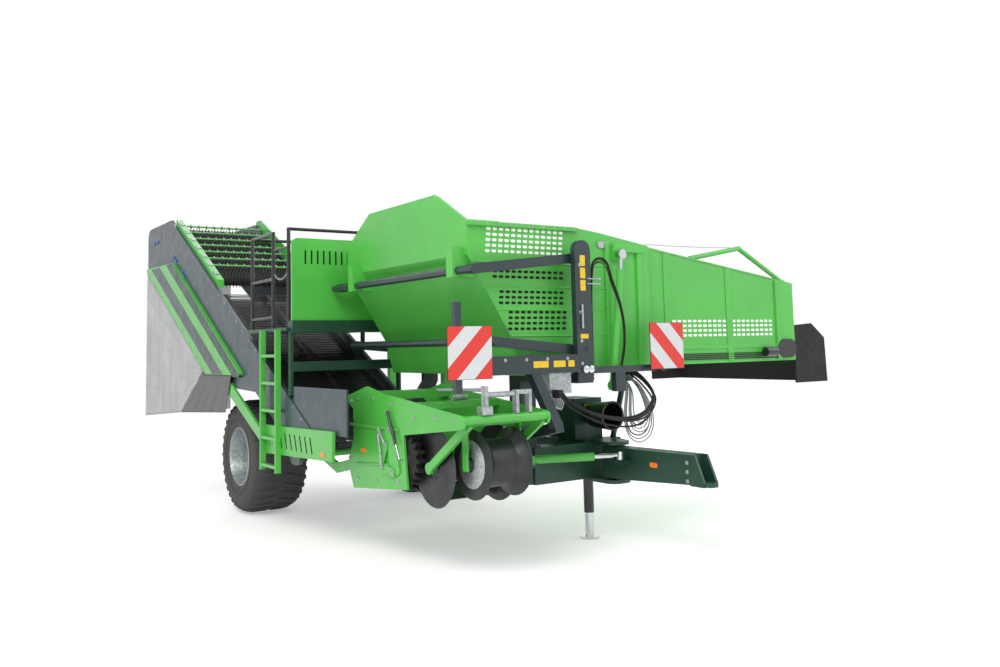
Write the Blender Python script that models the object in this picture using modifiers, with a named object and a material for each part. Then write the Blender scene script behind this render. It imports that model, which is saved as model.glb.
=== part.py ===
"""Trailed one-row potato harvester with a lifting, folding bunker, as separate jointed pieces.

Axes: -Y is the driving direction, -X the driver's right-hand side, +Z up, the ground at Z = 0.
All values are metres. Outlines are lists of (across, up, corner radius) points, and a span is
(low, high) along one axis.
"""
import math

import bmesh
import bpy
from mathutils import Matrix, Vector

# ---------------------------------------------------------------- driving dimensions
GAP = 0.0003           # between pieces that seat on each other
PIN_PLAY = 0.0008      # between a pin and its bore, on the radius
PIN_SIDES = 32

TYRE_DIAMETER = 1.333
TYRE_WIDTH = 0.66
BEAD_RADIUS = 0.345
AXLE_Y = 0.56
WHEEL_X = {"right": -2.27, "left": -0.07}
SPINDLE_RADIUS = 0.05

RAIL_X = {"right": (-1.34, -1.22), "left": (-0.60, -0.48)}
RAIL_Z = (0.80, 1.00)
RAIL_Y = (-2.95, 2.30)
HEAD_Z = (0.60, 0.95)          # the deep front beam and the drawbar head
PIVOT = (-0.17, -3.44)         # drawbar king pin
KING_PIN_RADIUS = 0.04
DRAWBAR_WIDTH = 0.18
DRAWBAR_END_Y = -4.50
STEER_EYE = (-0.36, -3.71)     # the steering rod's open eye, over the drawbar's bracket
JACK = (-0.256, -3.115)
JACK_RADIUS = 0.05
JACK_LEG_RADIUS = 0.042

ELEVATOR_X = (-2.67, -1.36)    # outer faces of the two side plates
PLATE = 0.04                   # side plate thickness
PITCH = math.radians(28)       # slope of the webs
CREST = (3.20, 3.80)           # (y, z) where the sloping edge meets the level top
REAR_Y = 4.64
REAR_Z = (3.25, 3.87)

DIGGER_X = (-2.40, -1.54)      # outer faces of the digger's side plates
DIGGER_PLATE = 0.02
DIGGER_PIVOT = (-1.40, 0.86)   # (y, z)
TOOL_BAR = (-4.13, 1.335)      # (y, z) of the front cross tube
TOOL_BAR_RADIUS = 0.038
DISC_CENTRE = (-3.50, 0.901)
DISC_RADIUS = 0.335
DISC_X = {"right": -2.27, "left": -1.64}
DIABOLO_CENTRE = (-3.885, 0.954)
DIABOLO_X = (-2.17, -1.69)
DIABOLO_RADIUS = 0.287
ROLLER_CENTRE = (-3.19, 0.95)
ROLLER_RADIUS = 0.215

BUNKER_X = (-2.13, -0.03)
BUNKER_Y = (-3.85, -1.54)
BUNKER_Z = (1.66, 2.985)
HOOD_Z = 3.28
WALL = 0.03
FOLD = (-0.02, 1.74)           # (x, z) of the fold hinge
OUTER_END_X = 2.18
CHUTE_DEPTH = 0.54             # how far the rubber chute stands off the folding section's end
OUTER_TOP_Z = (2.855, 2.54)    # inner and outer height of the folding section
FOLD_PIN_RADIUS = 0.02
LIFT = {"foot": (-0.614, 1.538), "eye": (-0.458, 2.752)}     # (x, z) of the lift cylinder's ends
LIFT_Y = (-3.955, -3.905)      # its two faces
SIDE_PLAY = 0.012              # between the folding section's walls and the fixed walls

ARM_PIN = {"upper": (-1.06, 2.69), "lower": (-1.04, 1.87)}       # (x, z) in the masts
ARM_TUBE = {"upper": (-2.19, 2.56), "lower": (-1.98, 1.96)}      # (x, z) at the bunker
ARM_WIDTH = 0.06
ARM_RADIUS = 0.034
MAST_X = (-1.13, -0.95)
MAST_PLATE = 0.06
MAST_TOP = 2.845
ARM_PIN_RADIUS = 0.022

BEAM_Z = (1.68, 1.835)         # lateral front beam
PLATFORM_Z = 2.12
BOARD = 0.423                  # side of a square warning board
BOARD_BACK = -4.10             # rear face of both boards

# ---------------------------------------------------------------- scene and collections
for old in list(bpy.data.objects):
    bpy.data.objects.remove(old, do_unlink=True)
scene = bpy.context.scene
scene.unit_settings.system = "METRIC"


def new_collection(name):
    made = bpy.data.collections.new(name)
    scene.collection.children.link(made)
    return made


harvester = new_collection("potato_harvester")
cutters = new_collection("cutters")

# name: (red, green, blue, roughness, metallic)
FINISHES = {
    "green_paint": (0.10, 0.55, 0.09, 0.35, 0.0),
    "dark_green_paint": (0.014, 0.068, 0.042, 0.45, 0.0),
    "slate_paint": (0.06, 0.115, 0.10, 0.45, 0.0),
    "galvanised": (0.55, 0.57, 0.58, 0.40, 0.9),
    "black_rubber": (0.02, 0.02, 0.02, 0.85, 0.0),
    "black_paint": (0.02, 0.021, 0.022, 0.40, 0.0),
    "worn_steel": (0.09, 0.095, 0.10, 0.45, 0.8),
    "canvas": (0.50, 0.52, 0.52, 0.90, 0.0),
    "board_white": (0.85, 0.85, 0.85, 0.40, 0.0),
    "cable_grey": (0.45, 0.47, 0.48, 0.60, 0.0),
}


def new_material(name):
    red, green, blue, roughness, metallic = FINISHES[name]
    made = bpy.data.materials.new(name)
    made.use_nodes = True
    shader = made.node_tree.nodes["Principled BSDF"]
    shader.inputs["Base Color"].default_value = (red, green, blue, 1)
    shader.inputs["Roughness"].default_value = roughness
    shader.inputs["Metallic"].default_value = metallic
    return made


materials = {name: new_material(name) for name in FINISHES}

# body: (parent body, point on its joint axis)
BODIES = {
    "root": (None, (0, 0, 0)),
    "wheel_right": ("root", (WHEEL_X["right"], AXLE_Y, TYRE_DIAMETER / 2)),
    "wheel_left": ("root", (WHEEL_X["left"], AXLE_Y, TYRE_DIAMETER / 2)),
    "drawbar": ("root", (*PIVOT, 0.77)),
    "steering_barrel": ("root", (-1.20, -3.42, 0.87)),
    "steering_rod": ("steering_barrel", (-1.20, -3.42, 0.87)),
    "jack_leg": ("root", (*JACK, 0)),
    "digger": ("root", (0, *DIGGER_PIVOT)),
    "disc_right": ("digger", (0, *DISC_CENTRE)),
    "disc_left": ("digger", (0, *DISC_CENTRE)),
    "diabolo": ("digger", (0, *DIABOLO_CENTRE)),
    "intake_roller": ("digger", (0, *ROLLER_CENTRE)),
    "upper_arms": ("root", (ARM_PIN["upper"][0], 0, ARM_PIN["upper"][1])),
    "bunker": ("upper_arms", (ARM_TUBE["upper"][0], 0, ARM_TUBE["upper"][1])),
    "lift_barrel": ("root", (LIFT["foot"][0], 0, LIFT["foot"][1])),
    "lift_rod": ("lift_barrel", (LIFT["foot"][0], 0, LIFT["foot"][1])),
    "bunker_outer": ("bunker", (FOLD[0], 0, FOLD[1])),
}


def add_empties():
    """One empty for each body, on its joint's axis, under the empty of the body that carries it."""
    made = {}
    for body, (parent, point) in BODIES.items():
        empty = bpy.data.objects.new("axis_" + body, None)
        empty.empty_display_size = 0.2
        harvester.objects.link(empty)
        origin = Vector(point)
        if parent:
            empty.parent = made[parent]
            origin = origin - Vector(BODIES[parent][1])
        empty.location = origin
        made[body] = empty
    return made


empties = add_empties()


# ---------------------------------------------------------------- shapes
def shape_from(bm):
    """A helper object with this mesh, kept out of renders."""
    bmesh.ops.recalc_face_normals(bm, faces=bm.faces)
    mesh = bpy.data.meshes.new("shape")
    bm.to_mesh(mesh)
    bm.free()
    shape = bpy.data.objects.new("shape", mesh)
    shape.hide_render = True
    shape.display_type = "WIRE"
    cutters.objects.link(shape)
    return shape


def evaluated_mesh(obj, merge=1e-5):
    """The object's mesh with its modifiers or curve settings applied, its doubles merged."""
    bpy.context.view_layer.update()
    graph = bpy.context.evaluated_depsgraph_get()
    mesh = bpy.data.meshes.new_from_object(obj.evaluated_get(graph), depsgraph=graph)
    bm = bmesh.new()
    bm.from_mesh(mesh)
    bmesh.ops.remove_doubles(bm, verts=bm.verts, dist=merge)
    bmesh.ops.recalc_face_normals(bm, faces=bm.faces)
    bm.to_mesh(mesh)
    bm.free()
    return mesh


def as_shape(obj, matrix):
    """Turns a curve or modified helper into a plain mesh helper at this place."""
    mesh = evaluated_mesh(obj)
    mesh.transform(matrix)
    if matrix.determinant() < 0:
        mesh.flip_normals()
    bpy.data.objects.remove(obj)
    shape = bpy.data.objects.new("shape", mesh)
    shape.hide_render = True
    shape.display_type = "WIRE"
    cutters.objects.link(shape)
    return shape


def block(x, y, z):
    """A box between the low and high of each axis."""
    low, high = Vector((x[0], y[0], z[0])), Vector((x[1], y[1], z[1]))
    size = Matrix.Diagonal((*(high - low), 1))
    bm = bmesh.new()
    bmesh.ops.create_cube(bm, size=1, matrix=Matrix.Translation((low + high) / 2) @ size)
    return shape_from(bm)


def along(start, end):
    """A matrix whose Z runs from start to end and whose origin is halfway."""
    start, end = Vector(start), Vector(end)
    run = end - start
    up = Vector((0, 0, 1)) if abs(run.normalized().z) < 0.99 else Vector((0, 1, 0))
    side = up.cross(run).normalized()
    top = run.cross(side).normalized()
    turn = Matrix((side, top, run.normalized())).transposed().to_4x4()
    return Matrix.Translation((start + end) / 2) @ turn, run.length


def beam(start, end, wide, deep):
    """A straight box section: wide is level and across it, deep is the other way."""
    place, length = along(start, end)
    bm = bmesh.new()
    bmesh.ops.create_cube(bm, size=1, matrix=place @ Matrix.Diagonal((wide, deep, length, 1)))
    return shape_from(bm)


def rod(start, end, radius, sides=16, end_radius=None):
    """A round bar, or a cone when the end radius differs."""
    place, length = along(start, end)
    bm = bmesh.new()
    bmesh.ops.create_cone(
        bm, cap_ends=True, segments=sides, radius1=radius,
        radius2=radius if end_radius is None else end_radius, depth=length, matrix=place,
    )
    return shape_from(bm)


def hull(points):
    """The convex solid round these points."""
    bm = bmesh.new()
    for point in points:
        bm.verts.new(point)
    bmesh.ops.convex_hull(bm, input=bm.verts)
    return shape_from(bm)


def rounded(points, steps=5):
    """The outline with an arc of the given radius at each corner that has one."""
    path = []
    count = len(points)
    for index, (a, b, radius) in enumerate(points):
        corner = Vector((a, b))
        if not radius:
            path.append(corner)
            continue
        before = (Vector(points[index - 1][:2]) - corner).normalized()
        after = (Vector(points[(index + 1) % count][:2]) - corner).normalized()
        half = before.angle(after) / 2
        centre = corner + (before + after).normalized() * radius / math.sin(half)
        first = corner + before * radius / math.tan(half) - centre
        last = corner + after * radius / math.tan(half) - centre
        sweep = first.angle_signed(last)
        for step in range(steps + 1):
            turned_by = Matrix.Rotation(-sweep * step / steps, 2)
            path.append(centre + turned_by @ first)
    return path


# Where an outline's two axes and its thickness point, by the axis that it is extruded along.
FRAMES = {
    "X": Matrix(((0, 0, 1, 0), (1, 0, 0, 0), (0, 1, 0, 0), (0, 0, 0, 1))),
    "Y": Matrix(((1, 0, 0, 0), (0, 0, 1, 0), (0, 1, 0, 0), (0, 0, 0, 1))),
    "Z": Matrix.Identity(4),
}


def outline(points, axis, span):
    """A flat outline extruded from the low to the high of span along an axis."""
    curve = bpy.data.curves.new("outline", "CURVE")
    curve.dimensions = "2D"
    curve.fill_mode = "BOTH"
    curve.extrude = (span[1] - span[0]) / 2
    path = rounded(points)
    spline = curve.splines.new("POLY")
    spline.points.add(len(path) - 1)
    for place, point in zip(spline.points, path):
        place.co = (point.x, point.y, 0, 1)
    spline.use_cyclic_u = True
    obj = bpy.data.objects.new("outline", curve)
    cutters.objects.link(obj)
    middle = Matrix.Translation((0, 0, (span[0] + span[1]) / 2))
    return as_shape(obj, FRAMES[axis] @ middle)


def turned(profile, centre, sides=40):
    """A closed (along X, radius) profile turned about the X axis through centre."""
    mesh = bpy.data.meshes.new("profile")
    count = len(profile)
    ring = [(index, (index + 1) % count) for index in range(count)]
    mesh.from_pydata([(x, 0, radius) for x, radius in profile], ring, [])
    obj = bpy.data.objects.new("profile", mesh)
    cutters.objects.link(obj)
    screw = obj.modifiers.new("turn", "SCREW")
    screw.axis = "X"
    screw.steps = screw.render_steps = sides
    screw.use_merge_vertices = True
    screw.merge_threshold = 0.0001
    return as_shape(obj, Matrix.Translation(centre))


def racetrack(start, end, radius):
    """The outline of a belt run round two rollers, as corner points with radii."""
    start, end = Vector(start), Vector(end)
    run = (end - start).normalized()
    side = Vector((-run.y, run.x)) * radius
    tip = run * radius
    corners = (start - tip + side, start - tip - side, end + tip - side, end + tip + side)
    return [(*corner, radius * 0.999) for corner in corners]


def tube(points, radius, sides=2):
    """A hose through these points: a POLY curve with a round bevel, smoothed between points."""
    curve = bpy.data.curves.new("tube", "CURVE")
    curve.dimensions = "3D"
    curve.bevel_depth = radius
    curve.bevel_resolution = sides
    curve.use_fill_caps = True
    path = smooth_path(points)
    spline = curve.splines.new("POLY")
    spline.points.add(len(path) - 1)
    for place, point in zip(spline.points, path):
        place.co = (*point, 1)
    obj = bpy.data.objects.new("tube", curve)
    cutters.objects.link(obj)
    return as_shape(obj, Matrix.Identity(4))


def smooth_path(points, steps=4):
    """A Catmull-Rom curve through the points, steps to each stretch."""
    knots = [Vector(point) for point in points]
    knots = [2 * knots[0] - knots[1]] + knots + [2 * knots[-1] - knots[-2]]
    path = []
    for a, b, c, d in zip(knots, knots[1:], knots[2:], knots[3:]):
        for step in range(steps):
            t = step / steps
            path.append(
                0.5 * (2 * b + (c - a) * t + (2 * a - 5 * b + 4 * c - d) * t**2
                       + (3 * b - a - 3 * c + d) * t**3)
            )
    return path + [knots[-2]]


def add_operand(target, operation, shapes):
    """A Boolean modifier on target with all these shapes."""
    group = bpy.data.collections.new("operands")
    cutters.children.link(group)
    for shape in shapes:
        group.objects.link(shape)
    modifier = target.modifiers.new(operation.lower(), "BOOLEAN")
    modifier.operation = operation
    modifier.operand_type = "COLLECTION"
    modifier.collection = group
    modifier.solver = "EXACT"
    return group


def piece(name, body, finish, shapes, cuts=()):
    """One solid made of overlapping shapes less the cuts, on its body's empty."""
    base, *others = shapes
    groups = []
    if others:
        groups.append(add_operand(base, "UNION", others))
    if cuts:
        groups.append(add_operand(base, "DIFFERENCE", cuts))
    mesh = evaluated_mesh(base)
    mesh.name = name
    mesh.transform(Matrix.Translation(-Vector(BODIES[body][1])))
    for group in groups:
        bpy.data.collections.remove(group)
    for shape in (*shapes, *cuts):
        bpy.data.objects.remove(shape)
    mesh.materials.clear()
    mesh.materials.append(materials[finish])
    mesh.shade_smooth()
    mesh.set_sharp_from_angle(angle=math.radians(35))
    obj = bpy.data.objects.new(name, mesh)
    obj.parent = empties[body]
    harvester.objects.link(obj)
    return obj


def crosswise(point, span):
    """The two ends of a bar along X at (y, z)."""
    return (span[0], *point), (span[1], *point)


def lengthwise(point, span):
    """The two ends of a bar along Y at (x, z)."""
    return (point[0], span[0], point[1]), (point[0], span[1], point[1])


# ---------------------------------------------------------------- chassis and axle
def build_main_frame():
    right, left = RAIL_X["right"], RAIL_X["left"]
    rails = [block(x, RAIL_Y, RAIL_Z) for x in (right, left)]
    cross = [
        block((right[1] - 0.02, left[0] + 0.02), (y - 0.06, y + 0.06), (0.83, 0.97))
        for y in (-1.6, -0.5, 1.3, 2.2)
    ]
    middle_z = sum(HEAD_Z) / 2
    deep = HEAD_Z[1] - HEAD_Z[0]
    knee = (-0.95, -3.14)
    front = [
        beam((right[0] - 0.12, -2.86, middle_z), (*knee, middle_z), 0.16, deep),
        beam((knee[0] - 0.06, knee[1], middle_z), (left[1] + 0.62, -3.14, middle_z), 0.20, deep),
        block(left, (-3.10, RAIL_Y[0] + 0.05), (0.81, 0.95)),
    ]
    fork = [
        outline(
            [(PIVOT[0] - 0.14, -3.175, 0), (PIVOT[0] - 0.14, PIVOT[1] - 0.11, 0.10),
             (PIVOT[0] + 0.14, PIVOT[1] - 0.11, 0.10), (PIVOT[0] + 0.14, -3.175, 0)],
            "Z", span,
        )
        for span in ((0.57, 0.605), (0.935, 0.97))
    ]
    pin = rod((*PIVOT, 0.575), (*PIVOT, 0.965), KING_PIN_RADIUS, PIN_SIDES)
    pads = [
        block((-1.16, -0.92), (-3.22, -3.00), (0.86, 0.97)),      # front mast
        block((-1.27, -1.13), (-3.46, -2.90), (0.80, 0.83)),      # steering cylinder
        block((-0.36, 0.02), (-3.22, -2.62), (0.90, 0.97)),       # gearbox
    ]
    steering_pin = rod((-1.20, -3.42, 0.81), (-1.20, -3.42, 0.905), 0.02, PIN_SIDES)
    gearbox_leg = block((left[0] + 0.02, 0.02), (-2.72, -2.62), (0.88, 0.96))
    piece("main_frame", "root", "dark_green_paint",
          [*rails, *cross, *front, *fork, pin, *pads, steering_pin, gearbox_leg])


def build_axle():
    centre = TYRE_DIAMETER / 2
    half = 0.075
    inner = {side: x for side, x in WHEEL_X.items()}
    ends = (inner["right"] + 0.36, inner["left"] - 0.36)
    shapes = [block(ends, (AXLE_Y - half, AXLE_Y + half), (centre - half, centre + half))]
    for side, x in RAIL_X.items():
        shapes.append(block(x, (AXLE_Y - 0.12, AXLE_Y + 0.12), (centre, RAIL_Z[0] - GAP)))
    spans = ((inner["right"] - 0.06, ends[0] + 0.05), (ends[1] - 0.05, inner["left"] + 0.06))
    for span in spans:
        shapes.append(rod(*crosswise((AXLE_Y, centre), span), SPINDLE_RADIUS, PIN_SIDES))
    piece("axle_beam", "root", "dark_green_paint", shapes)


def build_wheel(side):
    """The tyre and its rim, with the dished disc facing outwards."""
    outward = -1 if side == "right" else 1
    centre = (WHEEL_X[side], AXLE_Y, TYRE_DIAMETER / 2)
    half = TYRE_WIDTH / 2
    crown = TYRE_DIAMETER / 2
    tread = [(-0.30, BEAD_RADIUS), (-half + 0.01, crown - 0.2465), (-half, crown - 0.1665),
             (-half + 0.02, crown - 0.0865), (-0.26, crown - 0.0385), (-0.16, crown - 0.008), (0.0, crown)]
    profile = tread + [(-x, radius) for x, radius in reversed(tread[:-1])]
    piece("tyre_" + side, "wheel_" + side, "black_rubber", [turned(profile, centre, 40)])
    lip, skin = BEAD_RADIUS - GAP, 0.012
    well = lip - skin
    bore = SPINDLE_RADIUS + PIN_PLAY
    disc_x = 0.10 * outward
    rim = [(-0.30, lip), (-0.30, well), (disc_x - 0.01, well - 0.03), (disc_x - 0.01, 0.14),
           (0.02 * outward - 0.06, 0.12), (0.02 * outward - 0.06, bore),
           (0.02 * outward + 0.06, bore), (0.02 * outward + 0.06, 0.12),
           (disc_x + 0.01, 0.14), (disc_x + 0.01, well - 0.03), (0.30, well), (0.30, lip)]
    piece("rim_" + side, "wheel_" + side, "galvanised", [turned(rim, centre, 40)])


# ---------------------------------------------------------------- drawbar, steering and jack
def build_drawbar():
    x, y = PIVOT
    half = DRAWBAR_WIDTH / 2
    side = [(y + 0.10, 0.62, 0), (y + 0.10, 0.92, 0), (y - 0.15, 0.92, 0),
            (DRAWBAR_END_Y, 0.93, 0), (DRAWBAR_END_Y, 0.67, 0), (y - 0.15, 0.62, 0)]
    shapes = [
        outline(side, "X", (x - half, x + half)),
        block((STEER_EYE[0] - 0.05, x - half + 0.02), (STEER_EYE[1] - 0.05, STEER_EYE[1] + 0.05),
              (0.79, 0.825)),
    ]
    bore = rod((*PIVOT, 0.5), (*PIVOT, 1.1), KING_PIN_RADIUS + PIN_PLAY, PIN_SIDES)
    back = DRAWBAR_END_Y + 0.01
    cheek = [(back, 0.66, 0), (back, 0.93, 0), (back - 0.06, 0.93, 0), (back - 0.16, 0.70, 0),
             (back - 0.16, 0.66, 0)]
    shapes += [
        outline(cheek, "X", span)
        for span in ((x - half + 0.001, x - half + 0.025), (x + half - 0.025, x + half - 0.001))
    ]
    shapes.append(outline(
        [(x - half + 0.01, back - 0.01, 0), (x - half + 0.01, back - 0.12, 0),
         (x - 0.05, -4.70, 0.04), (x + 0.05, -4.70, 0.04), (x + half - 0.01, back - 0.12, 0),
         (x + half - 0.01, back - 0.01, 0)], "Z", (0.662, 0.70)))
    eye = rod((x, -4.645, 0.6), (x, -4.645, 0.8), 0.025, 16)
    piece("drawbar", "drawbar", "dark_green_paint", shapes, [bore, eye])


def build_steering():
    base, tip = Vector((-1.20, -3.42, 0.87)), Vector((*STEER_EYE, 0.87))
    run = (tip - base).normalized()
    eye_z = (0.8303, 0.9047)
    barrel = [
        rod((*base.xy, 0.8303), (*base.xy, 0.905), 0.045, PIN_SIDES),
        rod(base + run * 0.03, base + run * 0.62, 0.038, PIN_SIDES),
    ]
    cuts = [
        rod((*base.xy, 0.7), (*base.xy, 1.0), 0.02 + PIN_PLAY, PIN_SIDES),
        rod(base + run * 0.09, base + run * 0.70, 0.022 + PIN_PLAY, PIN_SIDES),
    ]
    piece("steering_barrel", "steering_barrel", "green_paint", barrel, cuts)
    rods = [
        rod(base + run * 0.30, tip - run * 0.03, 0.022, PIN_SIDES),
        rod((*tip.xy, eye_z[0]), (*tip.xy, eye_z[1]), 0.04, PIN_SIDES),
    ]
    piece("steering_rod", "steering_rod", "galvanised", rods)


def build_jack():
    top = HEAD_Z[0] - GAP
    tube_shape = rod((*JACK, 0.25), (*JACK, top), JACK_RADIUS, PIN_SIDES)
    bore = rod((*JACK, 0.20), (*JACK, top - 0.012), JACK_LEG_RADIUS + PIN_PLAY, PIN_SIDES)
    piece("jack_tube", "root", "black_paint", [tube_shape], [bore])
    leg = rod((*JACK, 0.01), (*JACK, 0.28), JACK_LEG_RADIUS, PIN_SIDES)
    foot = rod((*JACK, 0.0), (*JACK, 0.022), 0.10, PIN_SIDES)
    piece("jack_leg", "jack_leg", "galvanised", [foot, leg])


# ---------------------------------------------------------------- elevator at the back
def slope(y):
    """Height of the elevator's sloping upper edge."""
    return CREST[1] + (y - CREST[0]) * math.tan(PITCH)


def build_elevator_frame():
    sheet = [
        (-1.95, 0.88, 0), (-1.95, slope(-1.95), 0), (*CREST, 0), (CREST[0] + 0.10, REAR_Z[1], 0),
        (REAR_Y, REAR_Z[1], 0.14), (REAR_Y, REAR_Z[0], 0.05), (REAR_Y - 0.12, REAR_Z[0], 0),
        (0.90, 1.50, 0), (-0.25, 1.46, 0), (-1.25, 0.96, 0),
    ]
    lug = [(-1.56, 1.10, 0), (-1.52, 0.76, 0.10), (-1.28, 0.76, 0.10), (-1.18, 1.10, 0)]
    left, right = ELEVATOR_X[1], ELEVATOR_X[0]
    shapes = []
    for span in ((right, right + PLATE), (left - PLATE, left)):
        shapes.append(outline(sheet, "X", span))
        shapes.append(outline(lug, "X", span))
    tie = (right + PLATE / 2, left - PLATE / 2)
    shapes.append(block((right + 0.01, right + 0.03), (-2.60, -1.35), (1.12, 1.55)))
    for y, z in ((2.30, 2.42), (-0.60, 1.42), (4.56, 3.78)):
        shapes.append(block(tie, (y - 0.04, y + 0.04), (z - 0.05, z + 0.05)))
    shapes.append(block(tie, (REAR_Y - 0.12, REAR_Y - 0.02), (REAR_Z[0], REAR_Z[0] + 0.10)))
    bore = rod(*crosswise(DIGGER_PIVOT, (right - 0.1, left + 0.1)), 0.03 + PIN_PLAY, PIN_SIDES)
    piece("elevator_frame", "root", "slate_paint", shapes, [bore])


def build_supports():
    """Two posts on the rails with a beam that the elevator's plates rest on."""
    top = frame_bottom(1.90) - 0.03
    posts = [block(RAIL_X[side], (1.80, 1.92), (RAIL_Z[1] + GAP, top - 0.02)) for side in RAIL_X]
    bar = block((ELEVATOR_X[0] + 0.02, RAIL_X["left"][1]), (1.80, 1.92), (top - 0.14, top - 0.02))
    ear_z = frame_bottom(1.80) - 2 * GAP
    lips = [
        block(span, (1.80, 1.86), (top - 0.10, ear_z))
        for span in ((ELEVATOR_X[0] + 0.021, ELEVATOR_X[0] + PLATE - 0.001),
                     (ELEVATOR_X[1] - PLATE + 0.001, ELEVATOR_X[1] - 0.001))
    ]
    braces = [
        beam((x, 0.95, RAIL_Z[1] + 0.05), (x, 1.84, top - 0.10), 0.06, 0.06)
        for x in (sum(RAIL_X["right"]) / 2, sum(RAIL_X["left"]) / 2)
    ]
    feet = [block(RAIL_X[side], (0.88, 1.10), (RAIL_Z[1] + GAP, RAIL_Z[1] + 0.08)) for side in RAIL_X]
    piece("elevator_support", "root", "dark_green_paint", [bar, *posts, *lips, *braces, *feet])


def build_web(name, start, end, radius, span, finish):
    """A belt loop as one slab, with a roller shaft at each end that seats on the side plates."""
    inner = (ELEVATOR_X[0] + PLATE + GAP, ELEVATOR_X[1] - PLATE - GAP)
    shapes = [outline(racetrack(start, end, radius), "X", span)]
    for point in (start, end):
        shapes.append(rod(*crosswise(point, inner), 0.03, 12))
    piece(name, "root", finish, shapes)


def build_elevator_parts():
    build_web("sieving_web", (-1.80, slope(-1.80) - 0.14), (1.15, slope(1.15) - 0.14), 0.08,
              (-2.60, -1.43), "worn_steel")
    build_web("pintle_belt", (1.60, slope(1.60) - 0.09), (3.10, slope(3.10) - 0.10), 0.07,
              (-2.52, -1.43), "black_rubber")
    inner = ELEVATOR_X[0] + PLATE + GAP
    rail = [(1.25, slope(1.25) - 0.02, 0), (3.18, slope(3.18) - 0.02, 0),
            (3.18, slope(3.18) + 0.08, 0), (1.25, slope(1.25) + 0.08, 0)]
    piece("pintle_rail_right", "root", "green_paint", [outline(rail, "X", (inner, inner + 0.085))])
    outer = ELEVATOR_X[1] + GAP
    cheek = [(1.30, 2.72, 0), (1.30, 2.86, 0.03), (1.80, 3.24, 0.05), (3.15, 3.93, 0.03),
             (3.35, 3.93, 0.03), (3.35, 3.70, 0)]
    piece("pintle_rail_left", "root", "green_paint", [outline(cheek, "X", (outer, outer + 0.025))])


def cover_edge(y):
    """Height of the sloping lower edge of the elevator's outer cover."""
    return 1.64 + (y - 1.45) * (3.24 - 1.64) / (4.60 - 1.45)


def frame_bottom(y):
    """Height of the elevator side plates' sloping lower edge."""
    return 1.50 + (y - 0.90) * (REAR_Z[0] - 1.50) / (REAR_Y - 0.12 - 0.90)


def build_cover_and_curtain():
    outer = ELEVATOR_X[0] - GAP
    cover = [(4.60, 3.24, 0.02), (3.05, 3.21, 0.02), (0.10, 1.64, 0.02), (1.45, 1.64, 0.02)]
    piece("elevator_cover", "root", "green_paint", [outline(cover, "X", (outer - 0.05, outer))])
    hem = (outer - 0.045, outer - 0.035)
    drop = 0.0006
    curtain = [(4.50, cover_edge(4.50) - drop, 0), (1.55, cover_edge(1.55) - drop, 0),
               (2.58, 1.10, 0), (4.50, 0.96, 0)]
    back, right = 4.49, ELEVATOR_X[0] + 0.01
    piece("curtain", "root", "canvas", [
        outline(curtain, "X", hem),
        block((right, ELEVATOR_X[1] - 0.01), (back, back + 0.01), (0.98, frame_bottom(back) - GAP)),
        block((hem[0], right + 0.01), (back, back + 0.0099), (0.979, cover_edge(back) - 0.02)),
    ])
    flap = [(1.40, 1.64 - GAP, 0), (0.46, 1.64 - GAP, 0), (0.66, 1.19, 0), (2.46, 1.10, 0),
            (1.54, 1.60, 0)]
    piece("mud_flap", "root", "black_rubber", [outline(flap, "X", (hem[0] - 0.002, hem[1] - 0.002))])


# ---------------------------------------------------------------- platform, ladder and table
def build_platform():
    right, left = ELEVATOR_X
    low = PLATFORM_Z
    shapes = [
        block((right - 0.03, left), (-1.24, -0.02), (low, low + 0.04)),
        block((right + 0.01, -1.25), (-1.32, -1.20), (low - 0.02, low + 0.11)),
        block((right + 0.01, left - 0.01), (-1.28, -1.22), (1.70, 1.80)),
    ]
    for face in (right + 0.005, left - PLATE + 0.005):
        for y in (-1.28, -0.40):
            foot = slope(y + 0.06) + 0.001
            shapes.append(block((face, face + PLATE - 0.01), (y, y + 0.06), (foot, low + 0.01)))
    piece("platform", "root", "dark_green_paint", shapes)


def build_railings():
    """Posts on the platform's outer edge with rails and a chain, and the guard behind the shield."""
    x, far = ELEVATOR_X[0] + 0.035, ELEVATOR_X[1] - 0.035
    foot, top = PLATFORM_Z + 0.04 + GAP, 3.22
    shapes = [rod((x, y, foot), (x, y, top), 0.02, 10) for y in (-0.06, -0.72, -1.16)]
    shapes += [rod((x, -0.73, z), (x, -0.05, z), 0.018, 10) for z in (top - 0.01, 2.70, 2.28)]
    shapes.append(rod((x, -1.17, 3.02), (x, -0.71, 3.02), 0.012, 8))
    shapes.append(rod((x, -1.16, top - 0.01), (-1.60, -1.16, top - 0.01), 0.018, 10))
    shapes.append(rod((-1.60, -1.16, top), (-1.60, -1.16, foot), 0.02, 10))
    shapes.append(rod((x, -0.06, top - 0.01), (far, -0.06, top - 0.01), 0.018, 10))
    shapes.append(rod((far, -0.06, foot), (far, -0.06, top), 0.02, 10))
    piece("railing", "root", "black_paint", shapes)
    top_face = PLATFORM_Z + 0.11 + GAP
    shield = [(right_of(0.02), top_face, 0), (right_of(0.02), 3.10, 0.06), (-1.70, 3.10, 0.06),
              (-1.70, top_face, 0)]
    piece("picking_shield", "root", "green_paint", [outline(shield, "Y", (-1.29, -1.26))])


def right_of(inset):
    """An X this far inboard of the elevator's right-hand face."""
    return ELEVATOR_X[0] + inset


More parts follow.
